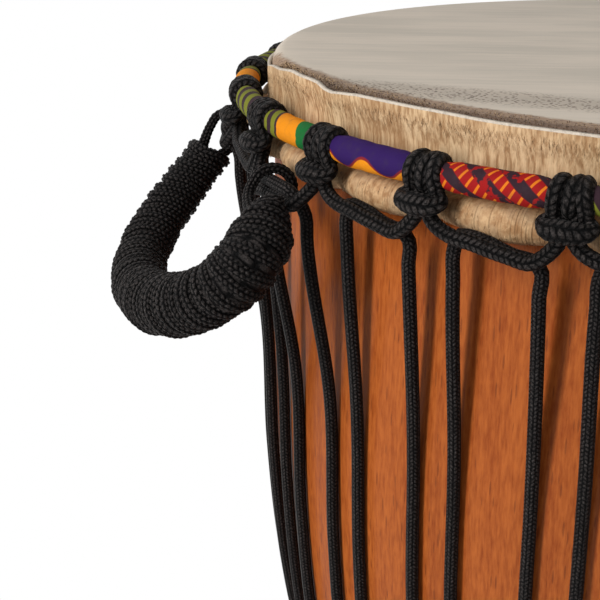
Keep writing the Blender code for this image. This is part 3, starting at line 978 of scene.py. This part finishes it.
class DJEMBE_OT_head(bpy.types.Operator):
    """Stretch the goatskin: shaved head, folded roll, hairy collar and its hairs"""

    bl_idname = "djembe.head"
    bl_label = "Goatskin head"

    def execute(self, context):
        sizes = context.scene.djembe_sizes
        colours = context.scene.djembe_colours
        self.stretch_skin(sizes, colours)
        hair = hair_finish(colours)
        self.grow_collar(sizes, hair)
        self.grow_fold(sizes, hair)
        self.grow_stubble(colours)
        return {"FINISHED"}

    def skin_rows(self, angles, sizes):
        """The skin's middle: radii and heights for each angle, from the head's middle to the cut edge."""
        ones = np.ones_like(angles)
        top = HEIGHT - SKIN / 2.0
        rows = []
        for i in range(HEAD_STEPS):
            r = (SKIN_MID - BEARING_ROUND) * math.sqrt(i / HEAD_STEPS)
            dip = HEAD_DIP * (1.0 - i / HEAD_STEPS) if i else 0.0
            rows.append((r * ones, top + dip * ripple(angles, 30 + i, 2, 5)))
        rows += [(r * ones, z * ones) for r, z in quarter(SKIN_MID, top, RIM_STEPS)]
        rows.append((SKIN_MID * ones, (FLESH_Z + 0.008) * ones))
        for turn in np.radians(np.linspace(*FOLD_TURN, FOLD_STEPS)):
            rows.append(fold_point(angles, turn, sizes))
        for share in (*np.linspace(0.05, CUT_SHARE, COLLAR_STEPS - 1), 1.0):
            rows.append(collar_point(angles, share, sizes))
        return np.stack([row[0] for row in rows], axis=1), np.stack([row[1] for row in rows], axis=1)

    def stretch_skin(self, sizes, colours):
        """One skin with two sides: head, rim, roll and collar."""
        angles = circle(KNOTS * 20)
        r, z = self.skin_rows(angles, sizes)
        count = r.shape[1]
        fold_start = HEAD_STEPS + RIM_STEPS + 1
        collar_start = fold_start + FOLD_STEPS
        thick = np.where(np.arange(count) >= collar_start, sizes.collar_skin, SKIN)[None, :]
        along_r, along_z = np.gradient(r, axis=1), np.gradient(z, axis=1)
        size = np.hypot(along_r, along_z)
        out_r, out_z = -along_z / size * thick / 2.0, along_r / size * thick / 2.0
        out_r[:, 0], out_z[:, 0] = 0.0, SKIN / 2.0
        both = (np.concatenate([r + out_r, (r - out_r)[:, ::-1]], axis=1),
                np.concatenate([z + out_z, (z - out_z)[:, ::-1]], axis=1))

        def slots(i, j):
            under = j >= count
            place = np.where(under, 2 * count - 2 - j, j)
            slot = np.where(under & (place >= fold_start), 1, 0)
            slot = np.where(under & (place >= collar_start), 2, slot)
            return np.where((j == count - 1) | (j == count), 3, slot)

        u = np.linspace(0.0, ROUND * HEAD_RADIUS, len(angles) + 1)
        v = np.arange(2 * count) / (2.0 * count)
        obj = grid_object("goatskin_head", turned_points(both, angles), (True, False), (u, v), slots=slots)
        finishes = [head_finish(colours), fold_finish(colours), collar_finish(colours), cut_finish(colours)]
        dress(obj, "drum", "goatskin", finishes, "drum_head")

    def grow_collar(self, sizes, hair):
        """Hairs that lie down the outside of the collar in uneven locks."""
        random = np.random.default_rng(41)
        count = COLLAR_HAIRS
        angle = random.uniform(0.0, ROUND, count)
        share = random.uniform(0.40, 0.972, count)
        middle, z = collar_point(angle, share, sizes)
        root, out, side = set_round(angle, middle + sizes.collar_skin / 2.0 - HAIR_SINK, z)
        sway = 0.24 * ripple(angle, 44, 40, 70) + random.normal(0.0, 0.20, count)
        lower_r, lower_z = collar_point(angle, share - 0.03, sizes)
        slope = (middle - lower_r) / (z - lower_z) + 0.012
        down = unit(np.array((0.0, 0.0, -1.0)) - slope[:, None] * out + sway[:, None] * side)
        length = sizes.hair * random.uniform(0.5, 1.15, count)
        length = np.minimum(length, np.maximum(z - CROWN_Z, 0.002) * 0.9)
        patch = ripple(angle, 45, 40, 110) + 0.5 * np.sin(900.0 * z + 3.0 * ripple(angle, 46, 30, 60))
        tone = 0.50 + 0.14 * patch + 0.26 * ripple(angle, 47, 380, 620) + random.normal(0.0, 0.16, count)
        lock = hairs("collar_hair", root, down, out, length, random.uniform(0.00006, 0.00013, count),
                     random.uniform(0.0, 0.0002, count), tone)
        dress(lock, "drum", "goatskin", [hair])

    def grow_fold(self, sizes, hair):
        """Short hairs that lie slanting over the roll."""
        random = np.random.default_rng(52)
        count = FOLD_HAIRS
        angle = random.uniform(0.0, ROUND, count)
        turn = np.radians(random.uniform(215.0, 400.0, count))
        r, z = fold_point(angle, turn, sizes)
        out_r, out_z = np.cos(turn), np.sin(turn)
        root, out, side = set_round(angle, r + out_r * SKIN * 0.42, z + out_z * SKIN * 0.42)
        normal = out_r[:, None] * out + out_z[:, None] * np.array((0.0, 0.0, 1.0))
        slant = 0.6 * ripple(angle, 53, 20, 50) + random.normal(0.0, 0.35, count)
        way = unit(np.cross(side, normal) + slant[:, None] * side)
        length = random.uniform(0.0012, 0.0030, count)
        tone = 0.42 + random.normal(0.0, 0.20, count)
        coat = hairs("fold_hair", root, way, normal, length, random.uniform(0.00007, 0.00016, count),
                     random.uniform(-0.0001, 0.00015, count), tone)
        dress(coat, "drum", "goatskin", [hair])

    def grow_stubble(self, colours):
        """Shaved stubble on the margin of the head, on the side that kept its roots, and over the rim."""
        random = np.random.default_rng(63)
        angle = random.uniform(math.radians(150.0), math.radians(320.0), STUBBLE_HAIRS)
        edge = SHAVED_RADIUS - SHAVED_SHIFT * np.cos(angle - HAIRY_ANGLE)
        kept = edge < HEAD_RADIUS - 0.003
        angle, edge = angle[kept], edge[kept]
        count = len(angle)
        r = edge + (HEAD_RADIUS - 0.0003 - edge) * np.sqrt(random.uniform(0.0, 1.0, count))
        fall = np.clip((r - HEAD_RADIUS + BEARING_ROUND) / BEARING_ROUND, 0.0, 1.0)
        z = HEIGHT - BEARING_ROUND * (1.0 - np.sqrt(1.0 - fall * fall)) - HAIR_SINK
        root, out, _ = set_round(angle, r, z)
        way = 0.8 * out + random.normal(0.0, 0.6, (count, 3))
        way[:, 2] = np.abs(way[:, 2]) + 0.25
        way = unit(way)
        flat = unit(np.cross(way, random.normal(0.0, 1.0, (count, 3))))
        tone = random.uniform(-0.1, 0.9, count) - 0.5 * ease(r - edge, 0.003, 0.012)
        stubble = hairs("rim_stubble", root, way, flat, random.uniform(0.0004, 0.0011, count),
                        random.uniform(0.00008, 0.00015, count), np.zeros(count), tone)
        dress(stubble, "drum", "goatskin", [stubble_hair_finish(colours)])


# The cloth's steps along a strip and round the ring, its laps and creases, and the iron rod's steps
STRIP_STEPS = 22
CLOTH_SIDES = 26
LAP_RATE = 430.0
LAP_HEIGHT = 0.00022
CREASE_HEIGHT = 0.00010
ROD_STEPS = 156
ROD_SIDES = 16


class DJEMBE_OT_rings(bpy.types.Operator):
    """Wrap the crown ring in printed cotton and forge the iron rings"""

    bl_idname = "djembe.rings"
    bl_label = "Rings and cloth"

    def execute(self, context):
        self.wrap_crown(context.scene.djembe_sizes, context.scene.djembe_colours)
        iron = iron_finish()
        angles, turn = circle(ROD_STEPS), circle(ROD_SIDES)
        ones = np.ones((ROD_STEPS, 1))
        r, z = BOTTOM_RADIUS + BOTTOM_ROD * np.cos(turn) * ones, BOTTOM_Z + BOTTOM_ROD * np.sin(turn) * ones
        rod = grid_object("bottom_rod", turned_points((r, z), angles), (True, True))
        dress(rod, "drum", "ring_iron", [iron], "bottom_ring")
        for node in ("crown_ring", "flesh_ring"):
            frame["nodes"][node].data.materials.clear()
            frame["nodes"][node].data.materials.append(iron)
        return {"FINISHED"}

    def wrap_crown(self, sizes, colours):
        """One strip of cotton between each two knots, pinched at the knots, with laps and creases."""
        angles = KNOT_ANGLES[0] + circle(KNOTS * STRIP_STEPS)
        turn = circle(CLOTH_SIDES)
        lap = np.abs(np.sin(angles[:, None] * CROWN_RADIUS * LAP_RATE + turn[None, :] / 2.0))
        crease = ripple(angles, 71, 50, 120)[:, None] * np.cos(2.0 * turn + 40.0 * angles[:, None])
        radius = sizes.cloth * (0.80 + 0.20 * ease(knot_swell(angles), 0.0, 0.45))[:, None]
        radius = radius + LAP_HEIGHT * np.sqrt(lap) + CREASE_HEIGHT * crease
        profile = (CROWN_RADIUS + radius * np.cos(turn), CROWN_Z + radius * np.sin(turn))
        u = np.arange(len(angles) + 1) / STRIP_STEPS
        v = np.arange(CLOTH_SIDES + 1) / CLOTH_SIDES
        obj = grid_object("cotton_wrap", turned_points(profile, angles), (True, True), (u, v),
                          slots=lambda i, j: ((i // STRIP_STEPS + 1) % KNOTS) % len(PRINTS))
        prints = [cotton_finish(colours, name) for name in PRINTS]
        dress(obj, "drum", "printed_cotton", prints, "crown_ring_cloth")


# A hitch on the crown ring, in rows of (along, out, up, thickness) from the ring's rod
HITCH_RADIUS = 0.0037
HITCH_THICKNESS = 1.08
TURN_STEP = 0.0042
LEG_HALF = 0.0021
NECK_REACH = 0.0024
NECK_DROP = -0.0112
HITCH_BAR = [
    (0.0044, 0.0022, -0.0050, 0.95),
    (0.0067, 0.0034, -0.0067, 0.86),
    (0.0050, 0.0053, -0.0076, 1.22),
    (0.0021, 0.0060, -0.0077, 1.46),
]
RUN_TILTS = (0.0020, -0.0010)
RUN_RISE = 0.0025
RUN_INSET = 0.0038
CROWN_PLAIT = 0.0017
CROWN_COLUMNS = 6
CROWN_LEAN = 0.6
CROWN_RELIEF = 0.11


def run_place(loop):
    """Radius and height of the crown cord's run along a loop; the handle's weight draws its two out."""
    if loop % KNOTS in HANDLE_LOOPS:
        return LOOP_RADIUS, LOOP_Z
    return LOOP_RADIUS - RUN_INSET, LOOP_Z + RUN_RISE


def run_tilt(sign, loop):
    """How much higher a run starts at its left knot, and lower it ends at its right one."""
    if loop % KNOTS in HANDLE_LOOPS:
        return 0.0
    return RUN_TILTS[0] if sign > 0 else RUN_TILTS[1]


def ring_turn(first, last, start, end, count):
    """Rows of a turn of cord round the crown ring, between two angles in degrees."""
    rows = []
    for i, turn in enumerate(np.radians(np.linspace(start, end, count))):
        along = first + i / (count - 1) * (last - first)
        rows.append((along, HITCH_RADIUS * math.cos(turn), HITCH_RADIUS * math.sin(turn), HITCH_THICKNESS))
    return rows


def hitch_side(angle, sign, loop):
    """Half of a hitch, from the loop's middle up to the bar: rows of (x, y, z, thickness)."""
    radius, z = run_place(loop)
    reach, drop = radius - CROWN_RADIUS, z - CROWN_Z
    tilt_here = run_tilt(sign, loop)
    bend = (0.5 * (reach + NECK_REACH) + 0.0002, 0.5 * (drop + NECK_DROP) - 0.0007 + 0.6 * tilt_here)
    rows = [
        (0.0165, reach, drop + 0.5 * tilt_here, 1.0),
        (0.0085, reach, drop + tilt_here, 1.0),
        (0.0050, *bend, 1.0),
        (LEG_HALF, NECK_REACH, NECK_DROP, 1.0),
    ]
    if sign > 0:
        rows += ring_turn(LEG_HALF, 0.0, 270.0, -50.0, 9)
        rows += ring_turn(0.0012, TURN_STEP, -95.0, -395.0, 8)
    else:
        rows += ring_turn(LEG_HALF, TURN_STEP, 270.0, -35.0, 8)
    return [(*polar(angle, CROWN_RADIUS + dr, CROWN_Z + dz, sign * along), size)
            for along, dr, dz, size in rows + HITCH_BAR]


class DJEMBE_OT_crown_cord(bpy.types.Operator):
    """Tie the crown cord: a cow hitch at each knot and a loop between two"""

    bl_idname = "djembe.crown_cord"
    bl_label = "Crown cord"

    def execute(self, context):
        sizes = context.scene.djembe_sizes
        rows = []
        for k, angle in enumerate(KNOT_ANGLES):
            rows += hitch_side(angle, -1.0, k - 1)
            rows += hitch_side(angle, 1.0, k)[::-1]
        obj = tube("crown_cord", rows, sizes.cord / 2.0, 20, 0.0005, True, CROWN_RELIEF,
                   CROWN_PLAIT, CROWN_COLUMNS, CROWN_LEAN)
        black = cord_finish(context.scene.djembe_colours, "crown_cord_black",
                            CROWN_PLAIT, CROWN_COLUMNS, 0.8, CROWN_LEAN)
        dress(obj, "drum", "black_cord", [black], "crown_ring_cord")
        return {"FINISHED"}


# The lacing's uprights beside each knot, the shares of the bowl they pass, and the bottom cord
VERTICAL_OFFSET = math.radians(2.6)
LACING_STATIONS = (0.0, 0.14, 0.27, 0.37, 0.47, 0.55, 0.63, 0.70, 0.77, 0.84)
BOTTOM_LOOP = 0.90
LACING_PLAIT = 0.0013
LACING_COLUMNS = 10
LACING_LEAN = 0.5
BOTTOM_RELIEF = 0.14
BOTTOM_TURN_POINTS = 9
BOTTOM_TURN_WIDTH = 0.0048
CORD_SIDES = 12


def lacing_run(sign, loop):
    """Where the rope runs along a loop of the crown cord: above the handle's loops, behind the others."""
    radius, z = run_place(loop)
    if loop % KNOTS in HANDLE_LOOPS:
        return radius, z + STRAND_STEP
    return radius - 0.92 * STRAND_STEP, z - 0.0006 + run_tilt(sign, loop)


def lacing_side(angle, sign, loop, rope):
    """One upright of the lacing, from its loop down the bowl."""
    at = angle + sign * VERTICAL_OFFSET
    run_r, run_z = lacing_run(sign, loop)
    radius, z = run_place(loop)
    rows = [
        polar(at, run_r, run_z, sign * 0.0060),
        polar(at, run_r - 0.0003, run_z - 0.0004, sign * 0.0022),
        polar(at, radius - STRAND_STEP - 0.0004, z - 0.0036, sign * 0.0002),
        polar(at, radius - STRAND_STEP - 0.0010, z - 0.0120),
    ]
    for t in LACING_STATIONS:
        rows.append(polar(at, *bowl_point(t, rope / 2.0 + (0.0010 if t == 0.0 else 0.0002))))
    rows.append(polar(at, *bowl_point(BOTTOM_LOOP, rope / 2.0 + 0.0002), -sign * 0.0006))
    return rows


class DJEMBE_OT_lacing(bpy.types.Operator):
    """Lace the rope up and down the bowl, and tie the bottom ring's cord"""

    bl_idname = "djembe.lacing"
    bl_label = "Lacing and bottom cord"

    def execute(self, context):
        sizes = context.scene.djembe_sizes
        colours = context.scene.djembe_colours
        rows = []
        for k, angle in enumerate(KNOT_ANGLES):
            rows += lacing_side(angle, -1.0, k - 1, sizes.rope)
            rows.append(polar(angle, *bowl_point(BOTTOM_LOOP + 0.022, sizes.rope / 2.0 + 0.0004)))
            rows += lacing_side(angle, 1.0, k, sizes.rope)[::-1]
        black = cord_finish(colours, "lacing_black", LACING_PLAIT, LACING_COLUMNS, 0.6, LACING_LEAN)
        obj = tube("lacing_rope", with_thickness(rows), sizes.rope / 2.0, CORD_SIDES, 0.0022, True)
        dress(obj, "drum", "black_cord", [black], "lacing")
        self.tie_bottom(sizes, colours)
        return {"FINISHED"}

    def tie_bottom(self, sizes, colours):
        """The bottom ring's cord: a loop over each turn of the lacing and a turn round the ring between."""
        reach = BOTTOM_ROD + sizes.cord / 2.0 + 0.0001
        loop = bowl_point(BOTTOM_LOOP + 0.004, sizes.rope + sizes.cord / 2.0 + 0.0003)
        side = bowl_point(BOTTOM_LOOP + 0.03, sizes.cord / 2.0 + 0.0016)
        rows = []
        for angle in KNOT_ANGLES:
            for share, place in ((-0.15, loop), (0.15, loop), (0.30, side)):
                rows.append(polar(angle + share * PITCH, *place))
            for i in range(BOTTOM_TURN_POINTS):
                turn = math.radians(30.0 - 45.0 * i)
                along = BOTTOM_TURN_WIDTH * (i / (BOTTOM_TURN_POINTS - 1) - 0.5)
                rows.append(polar(angle + PITCH / 2.0, BOTTOM_RADIUS + reach * math.cos(turn),
                                  BOTTOM_Z + reach * math.sin(turn), along))
            rows.append(polar(angle + 0.70 * PITCH, *side))
        obj = tube("bottom_cord", with_thickness(rows), sizes.cord / 2.0, CORD_SIDES, 0.0009, True,
                   BOTTOM_RELIEF)
        black = cord_finish(colours, "bottom_cord_black", PLAIT, PLAIT_COLUMNS, 0.5)
        dress(obj, "drum", "black_cord", [black], "bottom_ring_cord")


# The handle's eyes, and the cord wound on it: radius shares along its length, from back to front
HANDLE_EYE = 0.0064
EYE_THICKNESS = 0.78
EYE_POINTS = 8
EYE_START = 65.0
EYE_STEP = 32.86
WRAP_PLAIT = 0.0016
WRAP_COLUMNS = 8
WRAP_LEAN = 0.3
WRAP_SIDES = 24
WRAP_STEP = 0.0004
WRAP_SHAPE = (
    (0.0, 0.80), (0.22, 0.84), (0.42, 0.96), (0.60, 1.0),
    (0.72, 0.97), (0.76, 0.90), (0.81, 1.0), (1.0, 0.94),
)
NECK_BARE = 0.0145
NECK_RADII = (0.0076, 0.0040)
NECK_PITCH = 0.0036
TURN_POINTS = 22
TURN_SKEW = 0.16
RIDGE_HEIGHT = 0.0008
RIDGE_START = 2.6
RIDGE_DRIFT = 7.0
ROPE_RELIEF = 0.2
WRAP_RELIEF = 0.24
WRAP_OVER_BACK = 0.007
WRAP_OVER_FRONT = 0.004


def handle_points(count):
    """Evenly spaced points on the handle's centre line, from its back eye to its front, and its length."""
    corners = [HINGE + Vector((0.0, HANDLE_HALF, 0.0))]
    corners += [HINGE + out * HANDLE_OUT + Vector((0.0, along, 0.0)) for out, along in HANDLE_CORNERS]
    corners.append(HINGE - Vector((0.0, HANDLE_HALF, 0.0)))
    share = np.linspace(0.0, 1.0, 80)[:, None]
    points = [np.array(corner)[None, :] for corner in corners]
    while len(points) > 1:
        points = [a + (b - a) * share for a, b in zip(points, points[1:])]
    rows = with_thickness(points[0])
    length = spline(rows, False, 0.001)[1]
    return spline(rows, False, length / count)[0][:, :3], length


def wrap_size(along, length, sizes):
    """Radius of the handle's cover at distances along its centre line."""
    shares, sizes_there = zip(*WRAP_SHAPE)
    return sizes.wrap / 2.0 * np.interp(along / length, shares, sizes_there)


def wound_turns(centre, length, first, last, radius, pitch, seed, uneven):
    """Turns of cord wound on a line between two distances along it, at a radius that may change."""
    normal, binormal = path_frames(centre, False)
    station = np.linspace(0.0, length, len(centre))
    random = np.random.default_rng(seed)
    count = int((last - first) / pitch * TURN_POINTS)
    along = np.linspace(first, last, count)
    turn = np.arange(count) / TURN_POINTS
    knots = np.arange(count // TURN_POINTS + 2)
    slack = np.interp(turn, knots, random.normal(0.0, uneven, len(knots)))
    skew = np.interp(turn, knots, random.normal(0.0, TURN_SKEW * pitch, len(knots)))
    angle = ROUND * turn
    ridge = np.maximum(0.0, np.cos(angle - RIDGE_START - RIDGE_DRIFT * along / length)) ** 5
    reach = radius(along) + slack + RIDGE_HEIGHT * ridge
    along = along + skew * np.sin(angle) + 0.4 * pitch * ridge * np.sin(0.5 * angle) ** 2
    middle, across, up = (np.stack([np.interp(along, station, rows[:, k]) for k in range(3)], axis=1)
                          for rows in (centre, normal, binormal))
    return middle + reach[:, None] * (np.cos(angle)[:, None] * across + np.sin(angle)[:, None] * up)


class DJEMBE_OT_handle(bpy.types.Operator):
    """Loop the handle's rope through the crown cord and hitch its cover round it"""

    bl_idname = "djembe.handle"
    bl_label = "Carrying handle"

    def execute(self, context):
        sizes = context.scene.djembe_sizes
        black = cord_finish(context.scene.djembe_colours, "handle_black",
                            WRAP_PLAIT, WRAP_COLUMNS, 0.8, WRAP_LEAN)
        centre, length = handle_points(60)
        from_back = np.linalg.norm(centre - centre[0], axis=1)
        from_front = np.linalg.norm(centre - centre[-1], axis=1)
        inside = centre[(from_back > HANDLE_BACK_BARE) & (from_front > HANDLE_FRONT_BARE)]
        self.loop_rope(inside, sizes.cord / 2.0, black)

        half = sizes.wrap_cord / 2.0
        front = length - HANDLE_FRONT_BARE
        along = np.linspace(HANDLE_BACK_BARE, front, len(inside))
        core = wrap_size(along, length, sizes) - 0.5 * half
        rows = np.concatenate([inside, core[:, None]], axis=1)
        bundle = tube("handle_bundle", rows, 1.0, 18, 0.001, False)
        dress(bundle, "handle", "black_cord", [black])

        turns = wound_turns(*handle_points(240), HANDLE_BACK_BARE - WRAP_OVER_BACK, front + WRAP_OVER_FRONT,
                            lambda along: wrap_size(along, length, sizes) - half,
                            sizes.wrap_pitch, 81, 0.0003)
        self.wind("handle_wrap", turns, half, black, "handle_cover")
        line, reach = spline(with_thickness([inside[-4], inside[-1], centre[-1]]), False, WRAP_STEP)
        first, last = np.linalg.norm(inside[-1] - inside[-4]) - 0.002, reach - NECK_BARE
        neck = wound_turns(line[:, :3], reach, first, last,
                           lambda along: np.interp(along, (first, last), NECK_RADII),
                           NECK_PITCH, 87, 0.0002)
        self.wind("handle_neck", neck, half, black)
        return {"FINISHED"}

    def loop_rope(self, inside, strand, black):
        """The rope: an eye at each end and two strands side by side between them."""
        rows = []
        for direction in (1.0, -1.0):
            eye = HINGE + Vector((0.0, direction * HANDLE_HALF, 0.0))
            for i in range(EYE_POINTS):
                turn = direction * math.radians(EYE_START + EYE_STEP * i)
                point = eye + HANDLE_EYE * (math.cos(turn) * HANDLE_OUT + math.sin(turn) * HANDLE_SIDE)
                rows.append((*point, EYE_THICKNESS))
            points = inside if direction > 0 else inside[::-1]
            rows += [(*(Vector(p) - direction * strand * HANDLE_SIDE), 1.0) for p in points]
        rope = tube("handle_rope", rows, strand, WRAP_SIDES, WRAP_STEP, True, ROPE_RELIEF,
                    WRAP_PLAIT, WRAP_COLUMNS, WRAP_LEAN)
        dress(rope, "handle", "black_cord", [black], "handle_core")

    def wind(self, name, turns, half, black, *nodes):
        """One wound cord of the handle."""
        obj = tube(name, with_thickness(turns), half, WRAP_SIDES, WRAP_STEP, False, WRAP_RELIEF,
                   WRAP_PLAIT, WRAP_COLUMNS, WRAP_LEAN)
        dress(obj, "handle", "black_cord", [black], *nodes)


FLOOR_HALF = 8.0
LAMP_AIM = Vector((0.0, 0.0, 0.52))
SENSOR_WIDTH = 36.0

# Each lamp's angle from the camera and rise in degrees, distance, and size (width, height)
KEY_LAMP = (-36.0, 23.0, 1.4, (0.22, 1.2))
FILL_LAMP = (60.0, 30.0, 1.6, (1.2, 1.2))


def floor_finish():
    """Pale floor that keeps the drum's shadow and fades to white away from it."""
    f = Finish("studio_floor", 0.9)
    f.colour((0.86, 0.86, 0.86))
    far = f.value(f.vector("LENGTH", f.place()), "Value")
    white = f.add("ShaderNodeEmission", {"Color": (1.0, 1.0, 1.0), "Strength": 1.0})
    blend = f.add("ShaderNodeMixShader", {0: f.step(far, 0.28, 0.62) * f.seen()})
    f.fill(blend.inputs[1], f.shader.outputs[0])
    f.fill(blend.inputs[2], white.outputs[0])
    f.fill(f.tree.nodes["Material Output"].inputs["Surface"], blend.outputs[0])
    return f.material


def light_world(strength):
    """Even light, with a white background behind the drum."""
    world = bpy.data.worlds.new("studio")
    world.use_nodes = True
    bpy.context.scene.world = world
    nodes = Nodes(world.node_tree)
    background = world.node_tree.nodes["Background"]
    background.inputs["Color"].default_value = (1.0, 1.0, 1.0, 1.0)
    nodes.fill(background.inputs["Strength"], nodes.seen() * (1.0 - strength) + strength)


def area_lamp(name, camera_angle, setting, power):
    """A soft lamp that points at the drum's upper half."""
    turn, rise, distance, size = setting
    angle, rise = camera_angle + math.radians(turn), math.radians(rise)
    lamp = bpy.data.lights.new(name, "AREA")
    lamp.shape = "RECTANGLE"
    lamp.size, lamp.size_y = size
    lamp.energy = power
    obj = bpy.data.objects.new(name, lamp)
    way = Vector((math.cos(angle) * math.cos(rise), math.sin(angle) * math.cos(rise), math.sin(rise)))
    obj.location = LAMP_AIM + distance * way
    obj.rotation_euler = way.to_track_quat("Z", "Y").to_euler()
    bpy.context.scene.collection.objects.link(obj)


class DJEMBE_OT_stage(bpy.types.Operator):
    """Set the floor, the studio light and the camera"""

    bl_idname = "djembe.stage"
    bl_label = "Stage"

    def execute(self, context):
        stage = context.scene.djembe_stage
        context.scene.view_settings.view_transform = "Standard"
        mesh = bpy.data.meshes.new("floor")
        corners = ((-1.0, -1.0), (1.0, -1.0), (1.0, 1.0), (-1.0, 1.0))
        mesh.from_pydata([(FLOOR_HALF * x, FLOOR_HALF * y, 0.0) for x, y in corners], [], [(0, 1, 2, 3)])
        floor = bpy.data.objects.new("floor", mesh)
        floor.data.materials.append(floor_finish())
        context.scene.collection.objects.link(floor)
        light_world(stage.room_light)
        area_lamp("key", stage.camera_angle, KEY_LAMP, stage.key_power)
        area_lamp("fill", stage.camera_angle, FILL_LAMP, stage.fill_power)
        self.set_camera(context, stage)
        return {"FINISHED"}

    def set_camera(self, context, stage):
        """Aim the camera from its angle round the drum, turn, pitch and roll."""
        lens = bpy.data.cameras.new("camera")
        lens.lens = stage.lens
        lens.sensor_width = SENSOR_WIDTH
        lens.clip_start = 0.01
        camera = bpy.data.objects.new("camera", lens)
        heading = stage.camera_angle + math.pi + stage.camera_turn
        forward = Vector(polar(heading, math.cos(stage.camera_pitch), -math.sin(stage.camera_pitch)))
        right = Vector((math.sin(heading), -math.cos(heading), 0.0))
        up = right.cross(forward)
        axes = Matrix((right, up, -forward)).transposed()
        place = Vector(polar(stage.camera_angle, stage.camera_distance, stage.camera_height))
        roll = Matrix.Rotation(stage.camera_roll, 4, "Z")
        camera.matrix_world = Matrix.Translation(place) @ axes.to_4x4() @ roll
        context.scene.collection.objects.link(camera)
        context.scene.camera = camera


class DJEMBE_PT_panel(bpy.types.Panel):
    """Lists the drum's pieces, sizes and colours"""

    bl_label = "Djembe"
    bl_idname = "DJEMBE_PT_panel"
    bl_space_type = "VIEW_3D"
    bl_region_type = "UI"
    bl_category = "Djembe"

    def draw(self, context):
        layout = self.layout
        for operator in OPERATORS:
            layout.operator(operator.bl_idname)
        for group in GROUPS:
            settings = getattr(context.scene, group)
            box = layout.box()
            for name in settings.__annotations__:
                box.prop(settings, name)


GROUPS = {"djembe_sizes": DjembeSizes, "djembe_colours": DjembeColours, "djembe_stage": DjembeStage}
OPERATORS = (
    DJEMBE_OT_shell,
    DJEMBE_OT_head,
    DJEMBE_OT_rings,
    DJEMBE_OT_crown_cord,
    DJEMBE_OT_lacing,
    DJEMBE_OT_handle,
    DJEMBE_OT_stage,
)


def register():
    """Register the settings, operators and panel."""
    for name, group in GROUPS.items():
        bpy.utils.register_class(group)
        setattr(bpy.types.Scene, name, PointerProperty(type=group))
    for operator in OPERATORS:
        bpy.utils.register_class(operator)
    bpy.utils.register_class(DJEMBE_PT_panel)


def unregister():
    """Undo register."""
    bpy.utils.unregister_class(DJEMBE_PT_panel)
    for operator in reversed(OPERATORS):
        bpy.utils.unregister_class(operator)
    for name, group in GROUPS.items():
        delattr(bpy.types.Scene, name)
        bpy.utils.unregister_class(group)


def main():
    """Build every piece and the stage."""
    register()
    make_streaks()
    make_plait()
    make_specks()
    bpy.ops.djembe.shell()
    bpy.ops.djembe.head()
    bpy.ops.djembe.rings()
    bpy.ops.djembe.crown_cord()
    bpy.ops.djembe.lacing()
    bpy.ops.djembe.handle()
    bpy.ops.djembe.stage()


if __name__ == "__main__":
    main()
